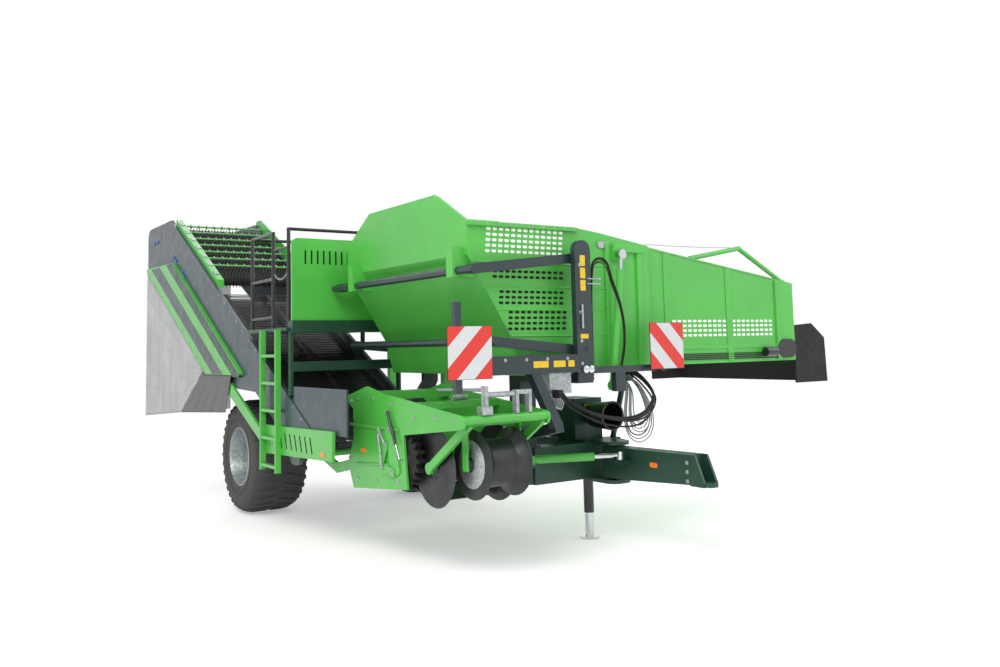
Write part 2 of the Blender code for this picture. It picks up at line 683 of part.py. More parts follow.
def build_ladder():
    x = (ELEVATOR_X[0] - 0.09, ELEVATOR_X[0] - 0.03 - GAP)
    span = (-1.10, -0.63)
    foot, top = 0.65, PLATFORM_Z + 0.02
    stiles = [block((x[0], x[1]), (y, y + 0.03), (foot, top)) for y in (span[0], span[1] - 0.03)]
    rungs = [
        block((x[0] + 0.005, x[1] - 0.005), (span[0] + 0.01, span[1] - 0.01), (z, z + 0.03))
        for z in (0.69, 0.98, 1.27, 1.56, 1.85)
    ]
    piece("ladder", "root", "green_paint", stiles + rungs)


def build_side_box():
    """The slotted cover in front of the wheel, on the elevator's side plate."""
    box = [(-2.36, 0.88, 0.02), (-2.38, 1.16, 0.02), (-0.60, 1.12, 0.02), (-0.62, 0.82, 0.02)]
    strip = [(-0.62, 1.00, 0), (-0.45, 0.95, 0), (0.70, 1.46, 0), (0.66, 1.56, 0), (0.55, 1.56, 0)]
    span = (ELEVATOR_X[0] - 0.03, ELEVATOR_X[0] - GAP)
    piece("side_box", "root", "green_paint", [outline(box, "X", span), outline(strip, "X", span)])


def build_table():
    """The picking table on its legs, the cross conveyor that feeds it and the belt on top."""
    x = (-0.90, -0.30)
    y = (-1.26, 2.20)
    low = 2.66
    sides = [block(span, y, (low, low + 0.22)) for span in ((x[0], x[0] + 0.03), (x[1] - 0.03, x[1]))]
    ties = [block((x[0] + 0.01, x[1] - 0.01), (at, at + 0.06), (low + 0.01, low + 0.07))
            for at in (-0.94, 0.41, y[1] - 0.12)]
    legs = [block((RAIL_X["left"][0], RAIL_X["left"][1]), (at, at + 0.08), (RAIL_Z[1] + GAP, low + 0.03))
            for at in (-0.95, 0.40)]
    piece("picking_table", "root", "green_paint", [*sides, *ties, *legs])
    belt = racetrack((y[0] + 0.10, low + 0.12), (y[1] - 0.10, low + 0.12), 0.04)
    shaft_span = (x[0] + 0.03 + GAP, x[1] - 0.03 - GAP)
    shapes = [outline(belt, "X", (x[0] + 0.05, x[1] - 0.05))]
    for at in (y[0] + 0.10, y[1] - 0.10):
        shapes.append(rod(*crosswise((at, low + 0.12), shaft_span), 0.02, 10))
    piece("picking_belt", "root", "black_rubber", shapes)
    chute = [block((ELEVATOR_X[1] + 0.03, x[0] - GAP), (1.35, 2.15), (2.50, 2.53)),
             block((ELEVATOR_X[1] + 0.03, x[0] - GAP), (1.35, 1.38), (2.50, 2.72)),
             block((ELEVATOR_X[1] + 0.03, x[0] - GAP), (2.12, 2.15), (2.50, 2.72))]
    cheek = block((ELEVATOR_X[1] + GAP, ELEVATOR_X[1] + 0.05), (1.35, 2.15), (2.45, 2.53))
    piece("cross_chute", "root", "green_paint", [cheek, *chute])


# ---------------------------------------------------------------- front gantry, masts and drive
def mast_outline(foot):
    """A mast's face: straight sides with a round top over the given foot points."""
    x0, x1 = MAST_X
    radius = (x1 - x0) / 2 - 0.001
    return foot + [(x1, MAST_TOP, radius), (x0, MAST_TOP, radius)]


def build_masts():
    front_y = (-4.06, -4.06 + MAST_PLATE)
    x0, x1 = MAST_X
    face = mast_outline([(x0, 1.60, 0), (x1, 1.60, 0)])
    shapes = [
        outline(face, "Y", front_y),
        block((x0, x1), (front_y[0] + 0.01, -3.02), (1.58, 1.66)),
        block((x0, x1), (-3.20, -3.02), (HEAD_Z[1] + 0.02 + GAP, 1.62)),
    ]
    bores = [
        rod(*lengthwise(ARM_PIN[name], (-4.2, -3.9)), ARM_PIN_RADIUS + PIN_PLAY, PIN_SIDES)
        for name in ARM_PIN
    ]
    shapes += [  # the arm that holds the left warning board
        block((x1 - 0.02, -0.12), (-4.05, -4.01), (1.66, 1.72)),
        block((-0.16, -0.10), (-4.10, -4.01), (1.66, 2.00)),
        block((LIFT["foot"][0] - 0.06, LIFT["foot"][0] + 0.06), (-4.04, -3.98), (1.49, 1.70)),
    ]
    lift_pin = rod(*lengthwise(LIFT["foot"], (-4.02, LIFT_Y[1] - 0.005)), 0.02, PIN_SIDES)
    piece("mast_front", "root", "slate_paint", [*shapes, lift_pin], bores)
    rear_y = (-1.39, -1.39 + MAST_PLATE)
    foot = [(x0, 1.55, 0), (RAIL_X["right"][0], 1.25, 0), (RAIL_X["right"][0], RAIL_Z[1] + GAP, 0),
            (RAIL_X["right"][1], RAIL_Z[1] + GAP, 0), (x1, 1.55, 0)]
    bores = [
        rod(*lengthwise(ARM_PIN[name], (-1.5, -1.2)), ARM_PIN_RADIUS + PIN_PLAY, PIN_SIDES)
        for name in ARM_PIN
    ]
    piece("mast_rear", "root", "slate_paint", [outline(mast_outline(foot), "Y", rear_y)], bores)
    beam_y = (-4.09, -3.97)
    bar = block((-2.30, x0 - GAP), beam_y, BEAM_Z)
    knee = (-1.36, -4.02, 1.22)
    shapes = [
        bar,
        beam((-1.62, -4.02, BEAM_Z[0] + 0.05), knee, 0.09, 0.09),
        beam((knee[0], knee[1] - 0.04, knee[2]), (-1.29, -2.99, HEAD_Z[1] + 0.05), 0.09, 0.09),
        block((-1.36, -1.22), (-3.03, -2.955), (HEAD_Z[1] + GAP, HEAD_Z[1] + 0.07)),
        block((-2.42, -2.36), (BOARD_BACK, BOARD_BACK + 0.05), (1.55, 2.28)),
        block((-2.37, -2.28), (BOARD_BACK + 0.01, BOARD_BACK + 0.05), (1.72, 1.80)),
    ]
    piece("front_beam", "root", "slate_paint", shapes)


def build_drive():
    pad = HEAD_Z[1] + 0.02 + GAP
    piece("gearbox", "root", "dark_green_paint",
          [block((-0.35, 0.01), (-3.05, -2.63), (pad, pad + 0.40)),
           rod((-0.17, -3.14, 1.21), (-0.17, -3.04, 1.21), 0.09, 16)])
    guard = rod((-0.17, -3.42, 1.21), (-0.17, -3.14 - GAP, 1.21), 0.145, 24, 0.12)
    hollow = rod((-0.17, -3.50, 1.21), (-0.17, -3.16, 1.21), 0.135, 24, 0.10)
    piece("pto_guard", "root", "black_paint", [guard], [hollow])
    piece("valve_block", "root", "galvanised",
          [block((-1.42, -1.18), (-4.02, -3.90), (1.50, BEAM_Z[0] - GAP))])
    foot = HEAD_Z[1] + GAP
    piece("hose_post", "root", "dark_green_paint", [
        block((0.022, 0.12), (-3.20, -3.08), (foot, foot + 0.02)),
        rod((0.07, -3.14, foot + 0.01), (0.07, -3.34, 1.58), 0.03, 12),
        block((-0.06, 0.17), (-3.37, -3.31), (1.54, 1.60)),
    ])


def build_boards():
    """Two square warning boards: one at the front beam's free end, one on the mast's arm."""
    y = (BOARD_BACK - 0.012 - GAP, BOARD_BACK - GAP)
    for side, x, z in (("right", -2.50, 1.66), ("left", -0.30, 1.68)):
        piece("warning_board_" + side, "root", "board_white", [block((x, x + BOARD), y, (z, z + BOARD))])


# ---------------------------------------------------------------- digger at the front right
def build_digger_frame():
    x0, x1 = DIGGER_X
    rear_y, rear_z = DIGGER_PIVOT
    sheet = [(-2.02, 1.457, 0), (-2.49, 1.568, 0), (-2.80, 1.511, 0), (-3.12, 1.482, 0),
             (-4.19, 1.37, 0.05), (-4.16, 1.27, 0.04), (-3.19, 1.162, 0), (-3.25, 0.70, 0),
             (-2.20, 0.60, 0), (-2.08, 0.83, 0), (-2.20, 1.06, 0), (-2.20, 1.35, 0)]
    link = [(rear_y + 0.045, rear_z - 0.03, 0.03), (rear_y + 0.03, rear_z + 0.05, 0.03),
            (-1.82, 0.80, 0), (-2.30, 0.90, 0), (-2.30, 0.80, 0), (-1.82, 0.70, 0)]
    plates = [(x0, x0 + DIGGER_PLATE), (x1 - DIGGER_PLATE, x1)]
    shapes = [outline(sheet, "X", span) for span in plates]
    shapes += [outline(link, "X", (span[0] - side * 0.03, span[1] - side * 0.03 + 0.01))
               for span, side in zip(plates, (0, 0))]
    pivot_span = (ELEVATOR_X[0] + PLATE + 0.005, ELEVATOR_X[1] - PLATE - 0.005)
    shapes.append(rod(*crosswise(DIGGER_PIVOT, pivot_span), 0.045, PIN_SIDES))
    stub_span = (ELEVATOR_X[0], ELEVATOR_X[1])
    shapes.append(rod(*crosswise(DIGGER_PIVOT, stub_span), 0.03, PIN_SIDES))
    shapes.append(rod(*crosswise(TOOL_BAR, (x0 + 0.01, x1 - 0.01)), TOOL_BAR_RADIUS, 16))
    shapes.append(block((x0 + 0.01, x1 - 0.01), (-3.46, -3.34), (1.39, 1.45)))
    shapes.append(block((x0 + 0.01, x1 - 0.01), (-2.60, -2.50), (1.44, 1.52)))
    # arms to the two discs
    for at in (DISC_X["right"] - 0.05, DISC_X["left"] + 0.045):
        shapes.append(beam((at, TOOL_BAR[0], TOOL_BAR[1] - 0.03), (at, *DISC_CENTRE), 0.035, 0.07))
        shapes.append(rod(*crosswise(DISC_CENTRE, (at - 0.0175, at + 0.0175)), 0.05, 16))
    # fork over the diabolo roller
    bridge = (DIABOLO_X[0] - 0.045, DIABOLO_X[1] + 0.025)
    hub_y, hub_z = DIABOLO_CENTRE
    shapes.append(block(bridge, (hub_y - 0.025, hub_y + 0.025), (1.265, 1.315)))
    for span in ((bridge[0], bridge[0] + 0.015), (bridge[1] - 0.015, bridge[1])):
        shapes.append(block(span, (hub_y - 0.04, hub_y + 0.04), (hub_z - 0.05, 1.29)))
    for at in (bridge[0] + 0.12, bridge[1] - 0.12):
        shapes.append(beam((at, TOOL_BAR[0], TOOL_BAR[1]), (at, hub_y, 1.29), 0.05, 0.04))
    piece("digger_frame", "digger", "green_paint", shapes)


def build_digger_tools():
    x0, x1 = DIGGER_X[0] + DIGGER_PLATE + GAP, DIGGER_X[1] - DIGGER_PLATE - GAP
    web = racetrack((-3.00, 0.72), (-2.12, 0.99), 0.075)
    shapes = [outline(web, "X", (DISC_X["right"] - 0.01, x1 - 0.02))]
    for point in ((-3.00, 0.72), (-2.22, 0.96)):
        shapes.append(rod(*crosswise(point, (x0, x1)), 0.025, 12))
    blade = [(-3.42, 0.612, 0), (-3.06, 0.70, 0), (-3.04, 0.67, 0), (-3.42, 0.602, 0)]
    shapes.append(outline(blade, "X", (DISC_X["right"] + 0.03, DISC_X["left"] - 0.03)))
    piece("digging_web", "digger", "worn_steel", shapes)
    # discs face the arm that carries them
    for side, outward in (("right", -1), ("left", 1)):
        face = {"right": DISC_X["right"] - 0.05 + 0.0175 + GAP,
                "left": DISC_X["left"] + 0.045 - 0.0175 - GAP}[side] - DISC_X[side]
        other = -outward * 0.03
        rim, skin = DISC_RADIUS, 0.005
        profile = [(other, 0.0), (other, 0.04), (-outward * skin, 0.05), (-outward * skin, rim - 0.01),
                   (0.0, rim), (outward * skin, rim - 0.01), (outward * skin, 0.05), (face, 0.045),
                   (face, 0.0)]
        piece("disc_" + side, "disc_" + side, "worn_steel",
              [disc_solid(profile, (DISC_X[side], *DISC_CENTRE), 40)])
    build_diabolo()
    build_intake_roller()


def disc_solid(profile, centre, sides):
    """A solid of revolution about X whose profile starts and ends on the axis."""
    mesh = bpy.data.meshes.new("profile")
    edges = [(index, index + 1) for index in range(len(profile) - 1)]
    mesh.from_pydata([(x, 0, radius) for x, radius in profile], edges, [])
    obj = bpy.data.objects.new("profile", mesh)
    cutters.objects.link(obj)
    screw = obj.modifiers.new("turn", "SCREW")
    screw.axis = "X"
    screw.steps = screw.render_steps = sides
    screw.use_merge_vertices = True
    screw.merge_threshold = 0.0001
    return as_shape(obj, Matrix.Translation(centre))


def build_diabolo():
    middle = sum(DIABOLO_X) / 2
    half = (DIABOLO_X[1] - DIABOLO_X[0]) / 2
    profile = [(-half - 0.03 + GAP, 0.0), (-half - 0.03 + GAP, 0.05), (-half + 0.05, 0.06),
               (-half + 0.05, 0.17), (-half, 0.255), (-half, DIABOLO_RADIUS),
               (-half + 0.02, DIABOLO_RADIUS), (-0.10, 0.20), (0.10, 0.20),
               (half - 0.02, DIABOLO_RADIUS), (half, DIABOLO_RADIUS), (half, 0.255),
               (half - 0.05, 0.17), (half - 0.05, 0.06), (half + 0.01 - GAP, 0.05),
               (half + 0.01 - GAP, 0.0)]
    piece("diabolo_roller", "diabolo", "worn_steel",
          [disc_solid(profile, (middle, *DIABOLO_CENTRE), 40)])


def build_intake_roller():
    x = (DIGGER_X[0] + DIGGER_PLATE + 0.008, DISC_X["right"] - 0.03)
    middle, half = sum(x) / 2, (x[1] - x[0]) / 2
    face = DIGGER_X[0] + DIGGER_PLATE + GAP - middle
    profile = [(face, 0.0), (face, 0.04), (-half, 0.05), (-half, ROLLER_RADIUS - 0.02),
               (-half + 0.01, ROLLER_RADIUS), (half - 0.01, ROLLER_RADIUS),
               (half, ROLLER_RADIUS - 0.02), (half, 0.0)]
    piece("intake_roller", "intake_roller", "black_rubber",
          [disc_solid(profile, (middle, *ROLLER_CENTRE), 32)])


def build_depth_lever():
    """The galvanised depth lever and its guard, clamped on the front cross tube."""
    y, z = TOOL_BAR
    seat = z + TOOL_BAR_RADIUS + GAP
    shapes = [
        block((-2.22, -2.12), (y - 0.04, y + 0.04), (seat, 1.44)),
        block((-2.185, -2.155), (y - 0.03, y + 0.03), (1.42, 1.60)),
        rod((-2.17, y, 1.53), (-1.86, y, 1.53), 0.022, 12),
        block((-1.88, -1.85), (y - 0.03, y + 0.03), (seat, 1.56)),
        block((-1.86, -1.74), (y - 0.03, y + 0.03), (1.525, 1.56)),
        block((-1.75, -1.72), (y - 0.03, y + 0.03), (seat, 1.56)),
        rod((-2.17, y + 0.01, 1.57), (-2.17, -3.40, 1.55), 0.014, 10),
    ]
    piece("depth_lever", "digger", "galvanised", shapes)


# ---------------------------------------------------------------- bunker
def build_hopper():
    x0, x1 = BUNKER_X
    y0, y1 = BUNKER_Y
    z0, z1 = BUNKER_Z
    lift_lug = block((LIFT["eye"][0] - 0.05, LIFT["eye"][0] + 0.05), (y0 - 0.035, y0 + 0.01),
                     (LIFT["eye"][1] - 0.06, LIFT["eye"][1] + 0.08))
    body = [(x0, z1, 0), (x0, 2.70, 0), (-1.69, 1.995, 0), (-1.60, z0, 0), (x1, z0, 0),
            (x1, OUTER_TOP_Z[0], 0), (-0.64, 2.95, 0), (-0.94, z1, 0)]
    cavity = [(x0 + WALL, z1 + 0.4, 0), (x0 + WALL, 2.71, 0), (-1.663, 2.01, 0),
              (-1.575, z0 + WALL, 0), (x1 + 0.2, z0 + WALL, 0), (x1 + 0.2, z1 + 0.4, 0)]
    inside = (y0 + WALL, y1 - WALL)
    ridge = (y0 + 0.51, y1 - 0.51)
    hood = hull([
        (x0, y0, z1 - 0.05), (x0, y0, z1), (x0, ridge[0], HOOD_Z), (x0, ridge[1], HOOD_Z),
        (x0, y1, z1), (x0, y1, z1 - 0.05), (x0 + 0.37, y0, z1 - 0.05), (x0 + 0.37, y0, z1),
        (x0 + 0.37, y1, z1), (x0 + 0.37, y1, z1 - 0.05),
    ])
    under_hood = hull([
        (x0 + WALL, inside[0], z1 - 0.10), (x0 + WALL, inside[0], z1 - 0.02),
        (x0 + WALL, ridge[0] + 0.02, HOOD_Z - 0.062), (x0 + WALL, ridge[1] - 0.02, HOOD_Z - 0.062),
        (x0 + WALL, inside[1], z1 - 0.02), (x0 + WALL, inside[1], z1 - 0.10),
        (x0 + 0.40, inside[0], z1 - 0.10), (x0 + 0.40, inside[0], z1 - 0.06),
        (x0 + 0.40, inside[1], z1 - 0.06), (x0 + 0.40, inside[1], z1 - 0.10),
    ])
    lug_x = ARM_TUBE["upper"][0]
    lug_z = ARM_TUBE["upper"][1]
    lugs = [
        block((lug_x - 0.055, x0 + 0.12), (y, y + 0.10), (lug_z - 0.055, lug_z + 0.20))
        for y in (y0 + 0.05, y1 - 0.35)
    ]
    knuckles = [
        rod(*lengthwise(FOLD, span), 0.06, PIN_SIDES)
        for span in ((y0, y0 + WALL), (y1 - WALL, y1))
    ]
    ears = [
        block((x1 - 0.03, FOLD[0] + 0.02), span, (FOLD[1] - 0.05, FOLD[1] + 0.05))
        for span in ((y0, y0 + WALL), (y1 - WALL, y1))
    ]
    tube_bore = rod(*lengthwise(ARM_TUBE["upper"], (y0 - 0.2, y1 + 0.2)), ARM_RADIUS + PIN_PLAY, PIN_SIDES)
    fold_bore = rod(*lengthwise(FOLD, (y0 - 0.2, y1 + 0.2)), FOLD_PIN_RADIUS + PIN_PLAY, PIN_SIDES)
    mouth = block((FOLD[0] - 0.08, x1 + 0.3), inside, (z0 - 0.2, z1 + 0.5))
    piece("bunker_hopper", "bunker", "green_paint",
          [outline(body, "Y", BUNKER_Y), hood, *lugs, *knuckles, *ears, lift_lug],
          [outline(cavity, "Y", inside), under_hood, tube_bore, fold_bore, mouth])
    piece("bunker_belt", "bunker", "black_rubber", [
        block((-1.54, FOLD[0] - 0.09), (inside[0] + 0.05, inside[1] - 0.05),
              (z0 + WALL + GAP, z0 + WALL + 0.03))])


def build_outer_section():
    y0, y1 = BUNKER_Y[0] + WALL + SIDE_PLAY, BUNKER_Y[1] - WALL - SIDE_PLAY
    low = FOLD[1] - 0.04
    side = [(FOLD[0], low, 0), (FOLD[0], OUTER_TOP_Z[0], 0), (1.86, 2.589, 0),
            (OUTER_END_X, OUTER_TOP_Z[1], 0), (OUTER_END_X, low, 0)]
    spans = ((y0, y0 + 0.025), (y1 - 0.025, y1))
    walls = [outline(side, "Y", span) for span in spans]
    walls += [rod(*lengthwise(FOLD, span), 0.045, PIN_SIDES) for span in spans]
    floor = block((0.04, OUTER_END_X), (y0 + 0.01, y1 - 0.01), (low, low + 0.03))
    pins = [
        rod(*lengthwise(FOLD, span), FOLD_PIN_RADIUS, PIN_SIDES)
        for span in ((BUNKER_Y[0] - 0.01, y0 + 0.02), (y1 - 0.02, BUNKER_Y[1] + 0.01))
    ]
    frame_y = y0 + 0.032
    foot, peak, heel = (0.62, 2.765), (1.38, 2.90), (2.02, 2.567)
    frame = [
        rod((foot[0], frame_y, foot[1]), (peak[0], frame_y, peak[1]), 0.025, 12),
        rod((peak[0] - 0.02, frame_y, peak[1]), (heel[0], frame_y, heel[1]), 0.025, 12),
    ]
    for x, z in (foot, heel):
        frame.append(block((x - 0.04, x + 0.04), (y0 + 0.005, frame_y + 0.02), (z - 0.08, z + 0.005)))
    piece("bunker_outer", "bunker_outer", "green_paint", [floor, *walls, *pins, *frame])
    piece("outer_belt", "bunker_outer", "black_rubber", [
        block((0.05, OUTER_END_X + 0.05), (y0 + 0.04, y1 - 0.04), (low + 0.03 + GAP, low + 0.075))])
    end = OUTER_END_X + GAP
    far = OUTER_END_X + CHUTE_DEPTH
    lip = [(end, 1.45, 0), (end, 2.08, 0), (end + 0.30, 2.10, 0), (far - 0.02, 1.94, 0), (far, 1.45, 0)]
    hollow = block((end - 0.1, far - 0.04), (y0 + 0.02, y1 - 0.02), (1.0, 2.5))
    top_cut = block((end - 0.1, end + 0.25), (y0 + 0.02, y1 - 0.02), (1.0, 2.5))
    piece("discharge_chute", "bunker_outer", "black_rubber",
          [outline(lip, "Y", (y0, y1))], [hollow, top_cut])


def build_arms():
    y_front, y_rear = BUNKER_Y[0] - 0.075, BUNKER_Y[1] + 0.075
    spans = ((y_front - ARM_WIDTH, y_front), (y_rear, y_rear + ARM_WIDTH))
    pins = ((y_front - ARM_WIDTH - 0.07, y_front - 0.01), (y_rear + 0.01, y_rear + ARM_WIDTH + 0.07))
    for name in ("upper", "lower"):
        pin, end = ARM_PIN[name], ARM_TUBE[name]
        shapes = [rod(*lengthwise(end, (spans[0][0] - 0.06, spans[1][1] + 0.06)), ARM_RADIUS, PIN_SIDES)]
        for span, pin_span in zip(spans, pins):
            middle = sum(span) / 2
            shapes.append(beam((pin[0], middle, pin[1]), (end[0], middle, end[1]), ARM_WIDTH, 0.085))
            shapes.append(rod(*lengthwise(pin, span), 0.05, PIN_SIDES))
            shapes.append(rod(*lengthwise(pin, pin_span), ARM_PIN_RADIUS, PIN_SIDES))
        piece(name + "_arm_frame", "upper_arms" if name == "upper" else "root", "slate_paint", shapes)


def build_lift_cylinder():
    """The cylinder in front of the bunker, from the mast's arm to a lug on the hopper."""
    y = LIFT_Y
    middle = sum(y) / 2
    foot = Vector((LIFT["foot"][0], middle, LIFT["foot"][1]))
    eye = Vector((LIFT["eye"][0], middle, LIFT["eye"][1]))
    run = (eye - foot).normalized()
    foot_eye = rod(*lengthwise(LIFT["foot"], y), 0.045, PIN_SIDES)
    sleeve = rod(foot + run * 0.03, foot + run * 1.08, 0.032, PIN_SIDES)
    hollow = rod(foot + run * 0.10, foot + run * 1.20, 0.019 + PIN_PLAY, PIN_SIDES)
    bore = rod(*lengthwise(LIFT["foot"], (y[0] - 0.1, y[1] + 0.1)), 0.02 + PIN_PLAY, PIN_SIDES)
    piece("lift_barrel", "lift_barrel", "green_paint", [foot_eye, sleeve], [hollow, bore])
    piece("lift_rod", "lift_rod", "galvanised", [
        rod(foot + run * 0.13, eye, 0.019, PIN_SIDES),
        rod(*lengthwise(LIFT["eye"], y), 0.045, PIN_SIDES),
    ])


# ---------------------------------------------------------------- hoses and cables
HOSES = {
    # name: (radius, route)
    "hose_bundle": (0.028, [
        (-1.36, -4.085, 1.50), (-1.28, -4.13, 1.42), (-1.00, -4.16, 1.30), (-0.60, -4.10, 1.24),
        (-0.25, -3.98, 1.28), (0.00, -3.82, 1.42), (0.06, -3.62, 1.56), (0.07, -3.45, 1.6354),
        (0.06, -3.34, 1.6274)]),
    "mast_hoses": (0.016, [
        (-0.9336, -4.03, 1.75), (-0.9316, -4.03, 2.00), (-0.9316, -4.03, 2.30), (-0.90, -4.04, 2.60),
        (-0.80, -4.03, 2.70), (-0.70, -4.05, 2.55), (-0.62, -4.10, 2.20), (-0.60, -4.10, 1.90),
        (-0.60, -4.08, 1.74)]),
}


def build_hoses():
    for name, (radius, route) in HOSES.items():
        piece(name, "root", "black_rubber", [tube(route, radius)])


# ---------------------------------------------------------------- the whole machine
build_main_frame()
build_axle()
for wheel_side in WHEEL_X:
    build_wheel(wheel_side)
build_drawbar()
build_steering()
build_jack()
build_elevator_frame()
build_supports()
build_elevator_parts()
build_cover_and_curtain()
build_platform()
build_railings()
build_ladder()
build_side_box()
build_table()
build_masts()
build_drive()
build_boards()
build_digger_frame()
build_digger_tools()
build_depth_lever()
build_hopper()
build_outer_section()
build_arms()
build_lift_cylinder()
build_hoses()
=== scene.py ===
"""Looks of the trailed potato harvester: materials, fine surfaces, hoses, camera and light.

Axes are the frame's: -Y the driving direction, -X the machine's right-hand side, +Z up, metres.
"""
import math

import bmesh
import bpy
import numpy as np
from mathutils import Matrix, Vector


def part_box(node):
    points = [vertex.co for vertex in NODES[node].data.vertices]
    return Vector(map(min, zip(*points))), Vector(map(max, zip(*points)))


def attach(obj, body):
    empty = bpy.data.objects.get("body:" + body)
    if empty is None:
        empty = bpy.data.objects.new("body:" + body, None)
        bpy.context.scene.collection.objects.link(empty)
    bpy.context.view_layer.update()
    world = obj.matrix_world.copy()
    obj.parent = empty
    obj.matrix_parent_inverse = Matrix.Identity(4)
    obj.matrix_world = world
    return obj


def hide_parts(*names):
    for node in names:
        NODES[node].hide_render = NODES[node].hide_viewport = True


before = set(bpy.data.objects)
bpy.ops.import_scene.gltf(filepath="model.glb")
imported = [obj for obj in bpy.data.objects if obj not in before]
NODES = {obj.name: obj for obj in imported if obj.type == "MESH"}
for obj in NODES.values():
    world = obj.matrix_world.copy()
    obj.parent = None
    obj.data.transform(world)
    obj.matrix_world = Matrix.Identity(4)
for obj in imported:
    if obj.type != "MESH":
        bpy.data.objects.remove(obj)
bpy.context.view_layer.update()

bl_info = {
    "name": "Potato harvester",
    "version": (1, 0, 0),
    "blender": (4, 5, 0),
    "location": "View3D > Sidebar > Harvester",
    "description": "Builds the harvester's visible surfaces on its frame",
    "category": "Object",
}

TAU = 2 * math.pi

GREEN, DEEP_GREEN, SLATE = "green_enamel", "dark_green_enamel", "slate_enamel"
ANTHRACITE, BLACK = "anthracite_enamel", "black_enamel"
ZINC, STEEL, CHROME = "galvanised_steel", "soil_polished_steel", "hard_chromed_rod"
RUBBER, TYRE = "belt_rubber", "tyre_rubber"
CANVAS, SHADED_CANVAS = "pvc_coated_canvas", "dusty_canvas"
FILM_RIGHT, FILM_LEFT, YELLOW = "board_film_right", "board_film_left", "yellow_vinyl"
ORANGE, GREY_PLASTIC, BLUE = "orange_reflector", "grey_cable_sheath", "blue_nylon"
DARK, LIGHT = "shadow_in_openings", "daylight_through_holes"


# ---------------------------------------------------------------- materials
def linear(hex_colour):
    """An sRGB hex colour as linear red, green, blue and alpha."""
    parts = [int(hex_colour[i:i + 2], 16) / 255 for i in (1, 3, 5)]
    return (*[v / 12.92 if v <= 0.04045 else ((v + 0.055) / 1.055) ** 2.4 for v in parts], 1.0)


def dimmed(colour, share):
    """The linear colour with its light cut to a share."""
    return (*[value * share for value in colour[:3]], 1.0)


class Graph:
    """A material's node tree, with one call that adds a node with its settings and links."""

    def __init__(self, name, owner=None):
        self.owner = owner or bpy.data.materials.new(name)
        self.owner.use_nodes = True
        self.tree = self.owner.node_tree
        self.tree.nodes.clear()
        self.place = self.add("ShaderNodeTexCoord").outputs["Object"]

    def add(self, kind, inputs=None, **settings):
        made = self.tree.nodes.new(kind)
        for key, value in settings.items():
            setattr(made, key, value)
        for key, value in (inputs or {}).items():
            if isinstance(value, bpy.types.NodeSocket):
                self.tree.links.new(value, made.inputs[key])
            else:
                made.inputs[key].default_value = value
        return made

    def noise(self, grain_mm, detail=4.0):
        """Cloudy noise whose patches are about this many millimetres wide."""
        return self.add("ShaderNodeTexNoise", {"Vector": self.place, "Scale": 1000 / grain_mm,
                                               "Detail": detail}).outputs["Fac"]

    def cells(self, width_mm, output):
        """Cells about this many millimetres wide: their random colour or their distance."""
        return self.add("ShaderNodeTexVoronoi", {"Vector": self.place,
                                                 "Scale": 1000 / width_mm}).outputs[output]

    def ramp(self, value, stops):
        made = self.add("ShaderNodeValToRGB", {"Fac": value})
        elements = made.color_ramp.elements
        for element, (at, colour) in zip(elements, stops):
            element.position = at
            element.color = (colour,) * 3 + (1,) if isinstance(colour, float) else (*colour[:3], 1.0)
        return made.outputs["Color"]

    def bump(self, height, distance, strength=0.5):
        return self.add("ShaderNodeBump", {"Height": height, "Distance": distance,
                                           "Strength": strength}).outputs["Normal"]

    def finish(self, **inputs):
        names = {key.replace("_", " "): value for key, value in inputs.items()}
        shader = self.add("ShaderNodeBsdfPrincipled", names)
        out = self.add("ShaderNodeOutputMaterial", {"Surface": shader.outputs[0]})
        out.is_active_output = True
        return self.owner

    def seen(self):
        """1 for rays from the camera, from gloss and through glass, and 0 for those that light."""
        path = self.add("ShaderNodeLightPath").outputs
        some = self.add("ShaderNodeMath", {0: path["Is Camera Ray"], 1: path["Is Glossy Ray"]},
                        operation="ADD").outputs[0]
        return self.add("ShaderNodeMath", {0: some, 1: path["Is Transmission Ray"]},
                        operation="ADD", use_clamp=True).outputs[0]

    def between(self, share, low, high):
        """low where the share is 0 and high where it is 1."""
        return self.add("ShaderNodeMath", {0: share, 1: high - low, 2: low},
                        operation="MULTIPLY_ADD").outputs[0]


def enamel(name, base, rough, coat):
    """Sprayed farm-machine enamel: even colour, slight orange peel, thin dust that dulls it."""
    g = Graph(name)
    colour = g.ramp(g.noise(625, 6.0), [(0.30, dimmed(base, 0.86)), (0.62, base)])
    film = g.ramp(g.noise(140, 8.0), [(0.35, rough[0]), (0.75, rough[1])])
    peel = g.noise(3.8, 2.0)        # the real peel is about 1 mm, drawn coarser so that it shows
    return g.finish(Base_Color=colour, Roughness=film, Coat_Weight=coat, Coat_Roughness=0.12,
                    Normal=g.bump(peel, 0.0004, 0.25))


def zinc(name):
    """Hot-dip galvanised steel: crystals about 20 mm wide, each a little lighter or darker."""
    g = Graph(name)
    tone = g.add("ShaderNodeSeparateColor", {"Color": g.cells(20, "Color")}).outputs["Red"]
    colour = g.ramp(tone, [(0.0, linear("#989EA1")), (1.0, linear("#B9BEC0"))])
    rough = g.ramp(g.noise(55), [(0.3, 0.38), (0.8, 0.58)])
    return g.finish(Base_Color=colour, Metallic=0.85, Roughness=rough,
                    Normal=g.bump(tone, 0.0004, 0.12))


def bare_steel(name, dark, light):
    """Steel that soil has polished, with a darker film in patches about 250 mm wide."""
    g = Graph(name)
    colour = g.ramp(g.noise(250, 5.0), [(0.3, dark), (0.75, light)])
    film = g.ramp(g.noise(60, 6.0), [(0.3, 0.36), (0.8, 0.50)])
    return g.finish(Base_Color=colour, Metallic=0.8, Roughness=film,
                    Normal=g.bump(g.noise(5.5), 0.0004, 0.15))


